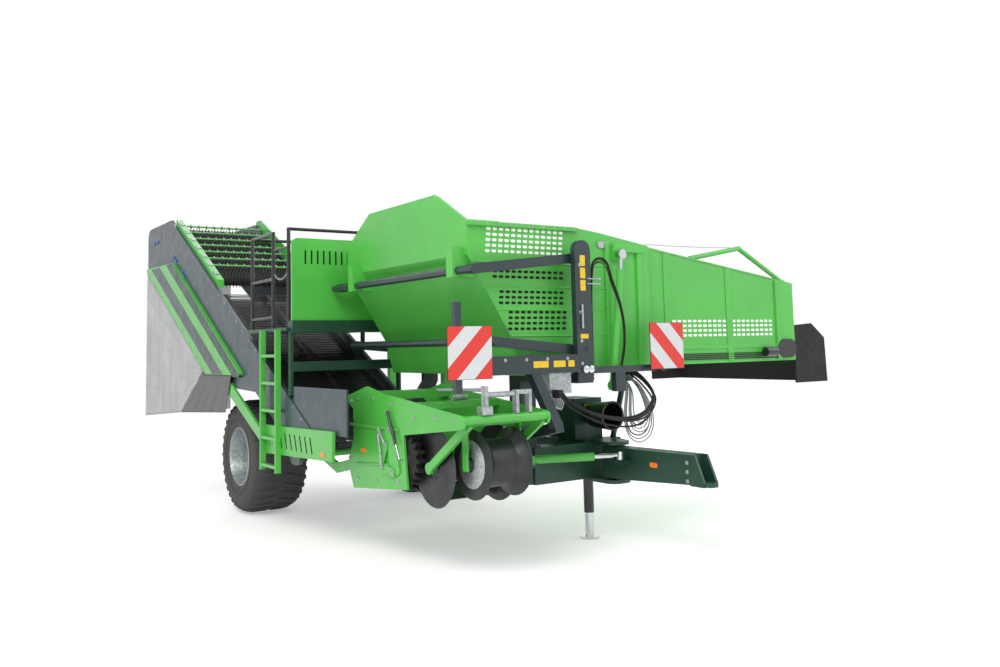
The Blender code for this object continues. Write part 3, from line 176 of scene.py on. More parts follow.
def rubber(name, base, dusty, grain_mm):
    """Vulcanised rubber: matte, near black, with pale dust in low patches."""
    g = Graph(name)
    colour = g.ramp(g.noise(285, 8.0), [(0.42, base), (0.85, dusty)])
    rough = g.ramp(g.noise(40), [(0.3, 0.62), (0.8, 0.85)])
    return g.finish(Base_Color=colour, Roughness=rough, Specular_IOR_Level=0.35,
                    Normal=g.bump(g.noise(grain_mm), 0.0005, 0.35))


def coated_canvas(name, base):
    """PVC-coated polyester: a plain weave under a satin film; its 1 mm threads are drawn at 6 mm."""
    g = Graph(name)
    thread, period = 0.006, TAU / 20    # a wave texture of scale 1 repeats every TAU / 20
    waves = [g.add("ShaderNodeTexWave", {"Vector": g.place, "Scale": period / thread},
                   bands_direction=direction).outputs["Fac"] for direction in ("Y", "Z")]
    weave = g.add("ShaderNodeMath", {0: waves[0], 1: waves[1]}, operation="MULTIPLY").outputs[0]
    colour = g.ramp(g.noise(450, 6.0), [(0.3, dimmed(base, 0.74)), (0.75, base)])
    return g.finish(Base_Color=colour, Roughness=0.62, Sheen_Weight=0.2,
                    Normal=g.bump(weave, 0.0006, 0.35))


def moulded(name, base, rough=0.35, metallic=0.0, glow=0.0):
    """A moulded, printed or plated surface of one colour, faintly mottled by handling."""
    g = Graph(name)
    colour = g.ramp(g.noise(60, 6.0), [(0.3, dimmed(base, 0.88)), (0.7, base)])
    film = g.ramp(g.noise(33), [(0.3, max(rough - 0.08, 0.02)), (0.8, rough + 0.1)])
    values = {"Base_Color": colour, "Roughness": film, "Metallic": metallic}
    # A glow is painted light: the surface gives off light in its own colour.
    if glow:
        values["Emission_Color"] = colour
        values["Emission_Strength"] = glow
    return g.finish(**values)


def striped(name, sign, start, pitch, first, second):
    """Retroreflective film over 4.5 mm prism cells, in bands where x + sign z is the same."""
    g = Graph(name)
    split = g.add("ShaderNodeSeparateXYZ", {"Vector": g.place}).outputs
    along = g.add("ShaderNodeMath", {0: split[2], 1: sign, 2: split[0]}, operation="MULTIPLY_ADD").outputs[0]
    count = g.add("ShaderNodeMath", {0: along, 1: 1 / pitch, 2: -start / pitch},
                  operation="MULTIPLY_ADD").outputs[0]
    part = g.add("ShaderNodeMath", {0: count}, operation="FRACT").outputs[0]
    edge = g.add("ShaderNodeMath", {0: part, 1: 0.5}, operation="GREATER_THAN").outputs[0]
    colour = g.add("ShaderNodeMix", {"Factor": edge, 6: (*first, 1.0), 7: (*second, 1.0)},
                   data_type="RGBA").outputs[2]
    return g.finish(Base_Color=colour, Roughness=0.32, Normal=g.bump(g.cells(4.5, "Distance"), 0.0003, 0.2))


def board_films(look):
    """Two and a half pairs of bands from corner to corner, rising outwards on each board."""
    for name, node, sign in ((FILM_RIGHT, "warning_board_right", -1.0), (FILM_LEFT, "warning_board_left", 1.0)):
        low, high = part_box(node)
        start = low[0] + (low[2] if sign > 0 else -high[2]) - 0.004
        striped(name, sign, start, (high[0] - low[0] + high[2] - low[2]) / 2.5, look.stripe, look.film)


def make_materials(look):
    """Every finish, in the panel's colours."""
    enamel(GREEN, look.green, (0.28, 0.42), 0.18)
    enamel(DEEP_GREEN, look.dark_green, (0.35, 0.55), 0.1)
    enamel(SLATE, look.slate, (0.34, 0.50), 0.12)
    enamel(ANTHRACITE, look.anthracite, (0.30, 0.48), 0.15)
    enamel(BLACK, look.black, (0.28, 0.45), 0.2)
    zinc(ZINC)
    bare_steel(STEEL, linear("#393A3B"), linear("#4C4E50"))
    moulded(CHROME, linear("#D5D8DA"), 0.12, 1.0)
    rubber(RUBBER, linear("#19191A"), linear("#2A2927"), 3.1)
    rubber(TYRE, linear("#1B1B1C"), linear("#34322E"), 4.2)
    coated_canvas(CANVAS, look.canvas)
    # The flap's canvas is the curtain's fabric in a darker grey: painted shade, because the flap leans in under the
    # cover.
    coated_canvas(SHADED_CANVAS, look.flap)
    board_films(look)
    moulded(YELLOW, linear("#F0C92B"), 0.3)
    # The orange's glow of 0.25 is painted light, which makes the reflectors and rear lamps shine.
    moulded(ORANGE, linear("#F07A1E"), 0.15, 0.0, 0.25)
    moulded(GREY_PLASTIC, linear("#B4B8BA"), 0.45)
    moulded(BLUE, linear("#2F6FC4"), 0.4)
    moulded(DARK, linear("#0B0C0C"), 0.9)
    moulded(LIGHT, linear("#F1F4EE"), 0.6, 0.0, 0.25)


# ---------------------------------------------------------------- shapes
def put(name, mesh, material, body="chassis", stands_for=(), smooth=35.0, bevel=0.0):
    """An object with this mesh in the frame, riding on a body."""
    mesh.materials.clear()
    mesh.materials.append(bpy.data.materials[material])
    mesh.shade_smooth()
    mesh.set_sharp_from_angle(angle=math.radians(smooth))
    obj = bpy.data.objects.new(name, mesh)
    bpy.context.scene.collection.objects.link(obj)
    if bevel:
        soften(obj, bevel)
    if stands_for:
        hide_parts(*stands_for)
    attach(obj, body)
    return obj


def soften(obj, width, segments=2):
    """Rounds the edges sharper than 40 degrees."""
    modifier = obj.modifiers.new("soft_edges", "BEVEL")
    modifier.width = width
    modifier.segments = segments
    modifier.limit_method = "ANGLE"
    modifier.angle_limit = math.radians(40)
    modifier.harden_normals = True
    modifier.use_clamp_overlap = True


def mesh_of(bm, name="mesh"):
    bmesh.ops.recalc_face_normals(bm, faces=bm.faces)
    mesh = bpy.data.meshes.new(name)
    bm.to_mesh(mesh)
    bm.free()
    return mesh


def joined(meshes):
    """Several meshes as one."""
    bm = bmesh.new()
    for mesh in meshes:
        bm.from_mesh(mesh)
        bpy.data.meshes.remove(mesh)
    mesh = bpy.data.meshes.new("joined")
    bm.to_mesh(mesh)
    bm.free()
    return mesh


def grid(points, wrap_u=False, wrap_v=False, caps=False):
    """A surface through an array of points [u, v, 3]; wraps close it and caps fill its ends."""
    points = np.asarray(points, float)
    rows, cols = points.shape[:2]
    index = np.arange(rows * cols).reshape(rows, cols)
    u = np.arange(rows if wrap_u else rows - 1)
    v = np.arange(cols if wrap_v else cols - 1)
    a = index[np.ix_(u, v)]
    b = index[np.ix_((u + 1) % rows, v)]
    c = index[np.ix_((u + 1) % rows, (v + 1) % cols)]
    d = index[np.ix_(u, (v + 1) % cols)]
    faces = np.stack([a, b, c, d], axis=-1).reshape(-1, 4).tolist()
    if caps:
        faces += [index[0].tolist(), index[-1][::-1].tolist()]
    mesh = bpy.data.meshes.new("grid")
    mesh.from_pydata(points.reshape(-1, 3).tolist(), [], faces)
    bm = bmesh.new()
    bm.from_mesh(mesh)
    bpy.data.meshes.remove(mesh)
    return mesh_of(bm)


def turned(profile, centre, sides=96, closed=True):
    """A (along X, radius) profile turned about the X axis through centre."""
    profile = np.asarray(profile, float)
    angle = np.linspace(0, TAU, sides, endpoint=False)
    x = np.broadcast_to(profile[:, 0], (sides, len(profile)))
    y = np.cos(angle)[:, None] * profile[:, 1]
    z = np.sin(angle)[:, None] * profile[:, 1]
    return grid(np.stack([x, y, z], axis=-1) + np.asarray(centre), True, closed)


def smooth_path(points, steps=8):
    """A Catmull-Rom curve: each stretch weighs four neighbouring points by cubics of t."""
    knots = np.asarray(points, float)
    knots = np.concatenate([[2 * knots[0] - knots[1]], knots, [2 * knots[-1] - knots[-2]]])
    a, b, c, d = (knots[i:len(knots) - 3 + i, None] for i in range(4))
    t = (np.arange(steps) / steps)[None, :, None]
    path = 0.5 * (2 * b + (c - a) * t + (2 * a - 5 * b + 4 * c - d) * t**2
                  + (3 * b - a - 3 * c + d) * t**3)
    return np.concatenate([path.reshape(-1, 3), knots[-2:-1]])


def unit(vectors):
    vectors = np.asarray(vectors, float)
    return vectors / np.linalg.norm(vectors, axis=-1, keepdims=True)


def pipe(points, radius, sides=12, smooth=True, steps=8):
    """A closed round tube: a circle at each station, its start carried along without twist."""
    path = smooth_path(points, steps) if smooth else np.asarray(points, float)
    ahead = unit(np.gradient(path, axis=0))
    starts = [unit(Vector(ahead[0]).orthogonal())]
    for direction in ahead[1:]:
        starts.append(unit(starts[-1] - direction * direction.dot(starts[-1])))
    starts = np.array(starts)[:, None]
    across = np.cross(ahead[:, None], starts)
    angle = (np.arange(sides) * TAU / sides)[:, None]
    ring = (starts * np.cos(angle) + across * np.sin(angle)) * radius
    return grid(path[:, None] + ring, wrap_v=True, caps=True)


def box(x, y, z):
    """A box between the low and high of each axis."""
    low, high = Vector((x[0], y[0], z[0])), Vector((x[1], y[1], z[1]))
    bm = bmesh.new()
    place = Matrix.Translation((low + high) / 2) @ Matrix.Diagonal((*(high - low), 1))
    bmesh.ops.create_cube(bm, size=1, matrix=place)
    return mesh_of(bm)


def turn_to(normal, along):
    """Unit rows that turn local points: the direction along, the one across and the normal."""
    z = unit(normal)
    x = unit(np.asarray(along, float) - z * np.dot(along, z))
    return np.array((x, np.cross(z, x), z))


def plate(centre, normal, along, size, thick, corner=0.15):
    """A flat plate with a quarter circle at each corner, drawn at both faces; corner is a share."""
    radius = corner * min(size)
    angle = (np.arange(4)[:, None] + np.linspace(0, 1, 5)) * math.pi / 2
    middle = np.array(((1, 1), (-1, 1), (-1, -1), (1, -1))) * (np.array(size) / 2 - radius)
    ring = middle[:, None] + radius * np.stack([np.cos(angle), np.sin(angle)], axis=-1)
    ring = ring.reshape(-1, 2)
    faces = [np.column_stack([ring, np.full(len(ring), level)]) for level in (0, thick)]
    return grid(np.array(faces) @ turn_to(normal, along) + np.asarray(centre), wrap_v=True, caps=True)


def cone(foot, direction, length, radii, sides):
    """A tapered peg: a polygon at its foot and a smaller one at its tip."""
    angle = np.arange(sides) * TAU / sides
    reach, level = np.array(radii)[:, None], np.array((0, length))[:, None]
    rings = np.stack(np.broadcast_arrays(reach * np.cos(angle), reach * np.sin(angle), level), axis=-1)
    return grid(rings @ turn_to(direction, (1, 0, 0)) + np.array(foot), wrap_v=True, caps=True)


def bolt(centre, normal, size=0.012):
    """A hexagon head on a washer: two prisms with a small chamfer, turned to the normal."""
    turn = turn_to(normal, Vector(normal).orthogonal())
    parts = []
    for sides, radius, low, high in ((12, size * 1.35, 0, size * 0.2), (6, size, size * 0.2, size * 0.8)):
        angle = np.arange(sides) * TAU / sides
        reach = radius * np.array((1.0, 1.0, 0.9))[:, None]
        level = np.array((low, high - size * 0.08, high))[:, None]
        rings = np.broadcast_arrays(reach * np.cos(angle), reach * np.sin(angle), level)
        parts.append(grid(np.stack(rings, axis=-1) @ turn + np.asarray(centre), wrap_v=True, caps=True))
    return joined(parts)


def racetrack(start, end, radius, pitch):
    """Evenly spaced rows (y, z, outward y, outward z) round two rollers.

    Each half of the way is a straight as long as the rollers' distance and then a half turn.
    """
    start, end = np.array(start), np.array(end)
    length = np.linalg.norm(end - start)
    run = unit(end - start)
    side = np.array([-run[1], run[0]])
    half = length + math.pi * radius
    count = max(int(2 * half / pitch), 8)
    far = 2 * half * np.arange(count) / count
    first = (far < half)[:, None]
    far = np.where(first[:, 0], far, far - half)[:, None]
    turn = np.maximum(far - length, 0) / radius
    out = np.where(first, 1, -1) * (side * np.cos(turn) + run * np.sin(turn))
    along = run * np.minimum(far, length)
    return np.hstack([np.where(first, start + along, end - along) + out * radius, out])


def carried(stations, section):
    """A closed band: the section's (x, height) points, each height along the outward direction."""
    section = np.asarray(section, float)
    place = stations[:, None, :2] + stations[:, None, 2:] * section[:, 1:]
    x = np.broadcast_to(section[:, 0], place.shape[:2])
    return grid(np.concatenate([x[..., None], place], axis=-1), True, True)


def rod_x(y, z, x, radius, sides=10):
    return pipe([(x[0], y, z), (x[1], y, z)], radius, sides, smooth=False)


def rod_belt(start, end, radius, pitch, x, bar, straps=3):
    """A sieving web: steel rods riveted to rubber straps, which run round two rollers."""
    stations = racetrack(start, end, radius, pitch)
    rods = joined([rod_x(y, z, x, bar) for y, z, _, _ in stations])
    strap = np.array(((-0.025, -0.006), (0.025, -0.006), (0.025, 0.006), (-0.025, 0.006)))
    bands = [carried(stations, strap + (centre, 0))
             for centre in np.linspace(x[0] + 0.03, x[1] - 0.03, straps)]
    return rods, joined(bands)


def web_shade_sheet(start, end, x, thick=0.03):
    """A black sheet between a web's upper and lower runs, as wide as its rods: painted shade, the dark seen between
    the rods.
    """
    start, end = np.array(start), np.array(end)
    run = unit(end - start)
    side = np.array([-run[1], run[0]]) * thick / 2
    return lengthwise_x((start - side, end - side, end + side, start + side), x)


def solid_belt(start, end, radius, pitch, x, thick=0.008):
    """A smooth belt round two rollers."""
    section = ((x[0], -thick), (x[1], -thick), (x[1], 0), (x[0], 0))
    return carried(racetrack(start, end, radius, pitch), section)


def lengthwise_x(outline, x):
    """A bar whose (y, z) outline is the same all along X."""
    outline = np.asarray(outline, float)
    ends = [np.column_stack([np.full(len(outline), end), outline]) for end in x]
    return grid(ends, wrap_v=True, caps=True)


# ---------------------------------------------------------------- carried-over nodes
FINISH_OF_NODE = {
    GREEN: ("elevator_cover", "pintle_rail_right", "pintle_rail_left", "picking_shield", "ladder",
            "side_box", "picking_table", "cross_chute", "steering_barrel", "digger_frame",
            "bunker_hopper", "bunker_outer", "lift_barrel"),
    DEEP_GREEN: ("main_frame", "axle_beam", "elevator_support", "platform", "gearbox",
                 "hose_post", "drawbar"),
    SLATE: ("elevator_frame",),
    ANTHRACITE: ("mast_front", "mast_rear", "front_beam", "lower_arm_frame", "upper_arm_frame"),
    BLACK: ("railing", "pto_guard", "jack_tube"),
    ZINC: ("depth_lever", "valve_block"),
    CHROME: ("lift_rod", "steering_rod", "jack_leg"),
    FILM_RIGHT: ("warning_board_right",),
    FILM_LEFT: ("warning_board_left",),
    RUBBER: ("discharge_chute", "bunker_belt", "outer_belt"),
}
EDGE_OF_NODE = {"bunker_hopper": 0.006, "bunker_outer": 0.005, "gearbox": 0.02, "drawbar": 0.008,
                "warning_board_right": 0.003, "warning_board_left": 0.003}


def build_carried_over(sizes):
    """Gives each CAD node that stays its material and softly rounded edges."""
    for material, names in FINISH_OF_NODE.items():
        for name in names:
            obj = NODES[name]
            for place in obj.material_slots:
                place.material = bpy.data.materials[material]
            soften(obj, EDGE_OF_NODE.get(name, sizes.edge))


# ---------------------------------------------------------------- wheels
def build_wheels(sizes):
    for side, outward in (("right", -1), ("left", 1)):
        low, high = (Vector(corner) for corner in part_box("tyre_" + side))
        centre = (low + high) / 2
        radius = (high.z - low.z) / 2
        half = (high.x - low.x) / 2
        shape = np.array([(-0.30, 0.345), (-0.315, 0.365), (-half + 0.012, 0.41), (-half, 0.48),
                          (-half + 0.004, 0.55), (-half + 0.03, 0.605), (-0.27, 0.632), (-0.2, 0.645),
                          (-0.1, 0.650), (0, 0.652)])
        profile = np.concatenate([shape, shape[-2::-1] * (-1, 1)])
        inner = np.array([(0.27, 0.36), (0.0, 0.40), (-0.27, 0.36)])
        carcass = turned(np.concatenate([profile, inner]), centre, 128)
        parts = [carcass]
        for ring in (0.44, 0.475, 0.56):
            for sign in (-1, 1):
                x = sign * (half - 0.003 - (0.012 if ring > 0.5 else 0.002))
                band = [(x - 0.004, ring - 0.004), (x + 0.004, ring - 0.004), (x + 0.004, ring + 0.004),
                        (x - 0.004, ring + 0.004)]
                parts.append(turned(band, centre, 96))
        parts += tread_blocks(centre, radius, half, sizes)
        put("tyre_surface_" + side, joined(parts), TYRE, "wheel_" + side,
            ("tyre_" + side,))
        build_rim(side, centre, outward)


def tread_blocks(centre, radius, half, sizes):
    """Slanting bars in two interleaved rows from the middle to the shoulders.

    A bar's angle grows by 0.12 t + 0.02 t squared on its way out, and its top follows the crown.
    """
    t = np.linspace(0, 1, 7)[:, None]
    reach = 0.035 + (half - 0.05) * t
    crown = radius - 0.0165 - 0.060 * np.maximum(0.0, (reach - 0.16) / 0.16) ** 2
    top = np.minimum(radius - 0.002, crown + sizes.tread)
    width = (0.021 + 0.008 * t) / radius
    across = np.hstack([-width, width, width * 0.8, -width * 0.8])
    height = np.hstack([crown - 0.012, crown - 0.012, top, top])
    parts = []
    for row, sign in ((0, -1), (0.5, 1)):
        x = np.broadcast_to(sign * reach, across.shape)
        for k in range(sizes.tread_bars):
            angle = (k + row) / sizes.tread_bars * TAU + 0.12 * t + 0.02 * t * t + across
            bar = np.stack([x, np.cos(angle) * height, np.sin(angle) * height], axis=-1)
            parts.append(grid(bar + np.array(centre), wrap_v=True, caps=True))
    return parts


def build_rim(side, centre, outward):
    lip = 0.345
    face = 0.10 * outward
    profile = [(-0.305, lip), (-0.312, lip - 0.012), (-0.30, lip - 0.018), (-0.27, lip - 0.022),
               (-0.20, lip - 0.045), (face - 0.012, lip - 0.055), (face - 0.010, 0.25),
               (face - 0.03 * outward - 0.010, 0.20), (face - 0.03 * outward - 0.010, 0.13),
               (-0.06 + 0.02 * outward, 0.115), (-0.06 + 0.02 * outward, 0.052),
               (0.06 + 0.02 * outward, 0.052), (0.06 + 0.02 * outward, 0.115),
               (face - 0.03 * outward + 0.010, 0.13), (face - 0.03 * outward + 0.010, 0.20),
               (face + 0.010, 0.25), (face + 0.012, lip - 0.055), (0.20, lip - 0.045),
               (0.27, lip - 0.022), (0.30, lip - 0.018), (0.312, lip - 0.012), (0.305, lip),
               (0.28, lip - 0.004), (0.20, lip - 0.030), (-0.20, lip - 0.030), (-0.28, lip - 0.004)]
    parts = [turned(profile, centre, 96)]
    seat = centre.x + face - 0.03 * outward + 0.010 * outward
    for k in range(8):
        angle = TAU * (k + 0.5) / 8
        at = (seat, centre.y + 0.16 * math.cos(angle), centre.z + 0.16 * math.sin(angle))
        parts.append(bolt(at, (outward, 0, 0), 0.017))
    put("rim_surface_" + side, joined(parts), ZINC, "wheel_" + side, ("rim_" + side,))
    cap = [(0.0, 0.001), (0.0, 0.048), (0.045, 0.046), (0.055, 0.036), (0.058, 0.001)]
    cap = [(x * outward + 0.05 * outward, r) for x, r in cap]
    put("hub_cap_" + side, turned(cap, centre, 48), BLACK, "wheel_" + side)


# ---------------------------------------------------------------- digger
def build_digger(sizes):
    spin = {"disc_right": "disc_right", "disc_left": "disc_left"}
    for name, body in spin.items():
        low, high = (Vector(corner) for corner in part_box(name))
        centre = (low + high) / 2
        x = -2.27 if name.endswith("right") else -1.64
        centre.x = x
        profile = [(-0.03, 0.001), (-0.03, 0.055), (-0.012, 0.065), (-0.012, 0.12), (-0.004, 0.14),
                   (-0.003, 0.30), (0.0, 0.335), (0.003, 0.30), (0.004, 0.14), (0.012, 0.12),
                   (0.012, 0.065), (0.03, 0.055), (0.03, 0.001)]
        parts = [turned(profile, centre, 96, closed=False)]
        for k in range(6):
            angle = TAU * k / 6
            at = Vector((x, centre.y + 0.09 * math.cos(angle), centre.z + 0.09 * math.sin(angle)))
            for sign in (-1, 1):
                parts.append(bolt(at + Vector((0.012 * sign, 0, 0)), (sign, 0, 0), 0.010))
        put(name + "_surface", joined(parts), STEEL, body, (name,))
    low, high = (Vector(corner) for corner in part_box("diabolo_roller"))
    middle, half = (low.x + high.x) / 2, (high.x - low.x) / 2
    centre = (middle, (low.y + high.y) / 2, (low.z + high.z) / 2)
    flange = half - 0.05
    side = [(-half, 0.001), (-half, 0.045), (-flange - 0.02, 0.05), (-flange, 0.10), (-flange, 0.27),
            (-flange + 0.006, 0.287), (-flange + 0.016, 0.287), (-flange + 0.03, 0.26), (-0.12, 0.205),
            (-0.05, 0.198)]
    profile = side + [(-x, r) for x, r in side[::-1]]
    put("diabolo_surface", turned(profile, centre, 96, closed=False), STEEL, "diabolo",
        ("diabolo_roller",))
    hub = [(-flange - 0.016, 0.052), (-flange - 0.010, 0.12), (-flange - 0.004, 0.19), (-flange, 0.195),
           (-flange, 0.052)]
    put("diabolo_hub_plate", turned(hub, centre, 64), ZINC, "diabolo")
    build_intake_roller()
    build_digging_web(sizes)
    build_digger_trim()


def build_intake_roller():
    low, high = (Vector(corner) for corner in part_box("intake_roller"))
    centre = (low + high) / 2
    half = (high.x - low.x) / 2
    core = [(-half, 0.001), (-half, 0.05), (-half + 0.01, 0.06), (-half + 0.01, 0.17), (half - 0.004, 0.17),
            (half - 0.004, 0.05), (half, 0.045), (half, 0.001)]
    parts = [turned(core, centre, 64, closed=False)]
    across, out = np.array(((-0.022, 0.165), (0.022, 0.165), (0.014, 0.213), (-0.014, 0.213))).T
    ends = np.array((-half + 0.008, half - 0.004))[:, None]
    for angle in np.arange(16) * TAU / 16:
        y = math.cos(angle) * out - math.sin(angle) * across
        z = math.sin(angle) * out + math.cos(angle) * across
        rib = np.stack(np.broadcast_arrays(ends, y, z), axis=-1)
        parts.append(grid(rib + np.array(centre), wrap_v=True, caps=True))
    put("intake_roller_surface", joined(parts), RUBBER, "intake_roller",
        ("intake_roller",))


def build_digging_web(sizes):
    rods, bands = rod_belt((-3.00, 0.72), (-2.12, 0.99), 0.068, sizes.rod_pitch, (-2.27, -1.585), 0.0055)
    shafts = joined([rod_x(y, z, (-2.379, -1.561), 0.024, 20) for y, z in ((-3.00, 0.72), (-2.22, 0.96))])
    blade = lengthwise_x(((-3.42, 0.603), (-3.42, 0.611), (-3.06, 0.70), (-3.05, 0.69)), (-2.24, -1.67))
    put("digging_web_rods", joined([rods, shafts, blade]), STEEL, "digger", ("digging_web",))
    put("digging_web_straps", bands, RUBBER, "digger")
    # A black sheet inside the web: painted shade between its rods.
    put("digging_web_shade_sheet", web_shade_sheet((-2.90, 0.75), (-2.20, 0.966), (-2.26, -1.60)), BLACK, "digger")


def build_digger_trim():
    """Bolts, reflectors, the gas strut, a spring and the folded flanges of the right side plate."""
    face = -2.40
    heads = []
    for y, z in ((-2.17, 1.42), (-2.30, 1.44), (-2.62, 1.46), (-2.95, 1.42), (-3.40, 1.33), (-3.75, 1.34),
                 (-4.02, 1.33), (-2.30, 0.70), (-2.70, 0.72), (-3.10, 0.75), (-2.12, 0.88)):
        heads.append(bolt((face, y, z), (-1, 0, 0), 0.013))
    put("digger_bolts", joined(heads), ZINC, "digger")
    ridges = []
    for points in (((face - 0.004, -2.15, 1.20), (face - 0.004, -3.12, 1.20)),
                   ((face - 0.004, -2.30, 0.84), (face - 0.004, -3.10, 0.90))):
        ridges.append(pipe(points, 0.012, 12, smooth=False))
    put("digger_ridges", joined(ridges), GREEN, "digger")
    strut = [pipe(((face - 0.03, -2.95, 1.36), (face - 0.03, -3.10, 1.08)), 0.014, 16, smooth=False)]
    put("gas_strut_body", joined(strut), BLACK, "digger")
    put("gas_strut_rod", pipe(((face - 0.03, -3.10, 1.08), (face - 0.03, -3.17, 0.95)), 0.006, 12, smooth=False),
        CHROME, "digger")
    step = np.arange(150)
    angle = TAU * step / 14
    coil = np.column_stack([-2.04 + step * 0.0011, -3.42 + 0.022 * np.cos(angle), 1.4763 + 0.022 * np.sin(angle)])
    put("depth_spring", pipe(coil, 0.004, 8, smooth=False), ZINC, "digger")
    brackets = [plate((face - 0.001, -3.00, 1.02), (-1, 0, 0), (0, 0.35, 1), (0.46, 0.15), 0.012, 0.3),
                plate((face - 0.0133, -2.86, 0.98), (-1, 0, 0), (0, -0.5, 1), (0.24, 0.07), 0.010, 0.49),
                plate((face - 0.0143, -2.93, 0.84), (-1, 0, 0), (0, 1, 0.2), (0.26, 0.08), 0.010, 0.49)]
    put("digger_brackets", joined(brackets), GREEN, "digger")
    ends = ((0.0236, -2.91, 1.07), (0.0236, -2.81, 0.89), (0.0246, -2.86, 0.854), (0.0246, -3.03, 0.82),
            (0.0133, -2.937, 1.199))
    put("bracket_bolts", joined([bolt((face - out, y, z), (-1, 0, 0), 0.016) for out, y, z in ends]),
        ZINC, "digger")
    links = [pipe(((face - 0.04, -2.86, 0.854), (face - 0.04, -2.79, 1.16)), 0.010, 12, smooth=False),
             pipe(((face - 0.04, -2.91, 1.07), (face - 0.04, -2.79, 1.20)), 0.008, 12, smooth=False)]
    links += [rod_x(y, z, (face - 0.052, face - 0.0003), 0.007, 12)
              for y, z in ((-2.79, 1.16), (-2.79, 1.20), (-2.95, 1.36), (-3.17, 0.95))]
    put("digger_links", joined(links), ZINC, "digger")
    put("reflector_digger", plate((face - 0.001, -2.42, 0.97), (-1, 0, 0), (0, 1, 0), (0.09, 0.04), 0.006, 0.2),
        ORANGE, "digger")


# ---------------------------------------------------------------- elevator, belts and covers
def build_elevator(sizes):
    rods, bands = rod_belt((-1.80, 1.0032), (1.15, 2.5718), 0.074, sizes.rod_pitch, (-2.60, -1.43), 0.0055)
    put("sieving_web_rods", rods, STEEL, "chassis", ("sieving_web",))
    put("sieving_web_straps", bands, RUBBER, "chassis")
    # A black sheet inside the web: painted shade between its rods.
    put("sieving_web_shade_sheet", web_shade_sheet((-1.75, 1.0298), (1.10, 2.5452), (-2.59, -1.44)), BLACK, "chassis")
    belt_ends = ((1.60, 2.8593), (3.10, 3.6468))
    belt = solid_belt(*belt_ends, 0.065, 0.03, (-2.52, -1.43))
    fingers = []
    for number, (y, z, oy, oz) in enumerate(racetrack(*belt_ends, 0.063, sizes.finger_pitch)):
        shift = 0.018 if number % 2 else 0.0
        for x in np.arange(-2.49 + shift, -1.45, 0.045):
            fingers.append(cone((x, y, z), (0, oy, oz), 0.032, (0.006, 0.003), 5))
    put("pintle_belt_surface", joined([belt, *fingers]), RUBBER, "chassis", ("pintle_belt",))
    slats = []
    for k in range(7):
        y = 1.45 + 0.26 * k
        z = 3.80 + (y - 3.2) * math.tan(math.radians(28)) + 0.082
        slats.append(plate((-2.627 + 0.043, y, z), (0, -0.47, 0.88), (0, 0.88, 0.47), (0.12, 0.06), 0.006, 0.2))
    put("belt_guides", joined(slats), ZINC, "chassis")
    for name, material, slot, first, last in (("cover_band_wide", SLATE, "slate_paint", 0.22, 0.52),
                                              ("cover_band_edge", DEEP_GREEN, "dark_green_paint", 0.76, 0.97)):
        put(name, cover_band(first, last), material, "chassis")
    rollers, rings = [], []
    across = (-2.5444, -1.36)
    for y in np.linspace(1.72, 3.02, 7):
        z = 2.8593 + (y - 1.60) * 0.525 + 0.150
        rollers.append(rod_x(y, z, across, 0.013, 12))
        rings += [rod_x(y, z, (x - 0.008, x + 0.008), 0.028, 14) for x in np.linspace(-2.46, -1.44, 10)]
    put("cross_rollers", joined(rollers), GREEN, "chassis")
    put("cross_roller_rings", joined(rings), ZINC, "chassis")
    build_elevator_trim()


def cover_band(first, last):
    """A thin band of the elevator's cover, between two shares of its height, cut at both ends."""
    upper, lower = 3.205, 1.645
    ring = [(1.45 - 1.35 * first, lower), (1.45 - 1.35 * last, lower),
            (4.56 - 1.55 * last, upper), (4.56 - 1.55 * first, upper)]
    return lengthwise_x(ring, (-2.7215, -2.7202))


def build_elevator_trim():
    face = -2.67
    heads = []
    for k in range(22):
        y = -1.80 + 0.22 * k
        z = 3.80 + (y - 3.2) * math.tan(math.radians(28)) - 0.03
        heads.append(bolt((face, y, z), (-1, 0, 0), 0.010))
    for y in np.arange(0.40, 4.5, 0.35):
        low = 1.64 + (y - 1.45) * 0.508 if y > 1.45 else 1.64
        heads.append(bolt((-2.7203, y, low + 0.05), (-1, 0, 0), 0.009))
    put("elevator_bolts", joined(heads), ZINC, "chassis")
    slots = []
    for k in range(7):
        y = -1.10 - 0.13 * k
        slots.append(plate((-2.7003, y, 0.99), (-1, 0, 0), (0, 0.35, 1), (0.17, 0.022), 0.0015, 0.48))
    for k in range(9):
        x = -2.50 + 0.07 * k
        slots.append(plate((x, -1.2903, 2.90), (0, -1, 0), (0, 0, 1), (0.15, 0.018), 0.0015, 0.48))
    put("vent_slots", joined(slots), DARK, "chassis")
    lamps = [box(x, (4.6203, 4.635), (3.262, 3.342)) for x in ((-2.60, -2.30), (-1.75, -1.45))]
    put("rear_lamps", joined(lamps), ORANGE, "chassis", bevel=0.004)
    put("reflector_box", plate((-2.7003, -2.15, 0.93), (-1, 0, 0), (0, 1, 0), (0.09, 0.04), 0.006, 0.2),
        ORANGE, "chassis")
    clamps = [bolt((face, y, z), (-1, 0, 0), 0.022)
              for y, z in ((3.12, 3.30), (3.00, 3.24), (2.66, 3.06), (2.58, 3.00), (4.22, 3.62), (4.02, 3.62))]
    put("blue_clamps", joined(clamps), BLUE, "chassis")
    rail = pipe(((-2.695, 1.43, 1.6277), (-2.695, 0.20, 1.6277)), 0.012, 12, smooth=False)
    put("curtain_rail", rail, BLACK, "chassis")


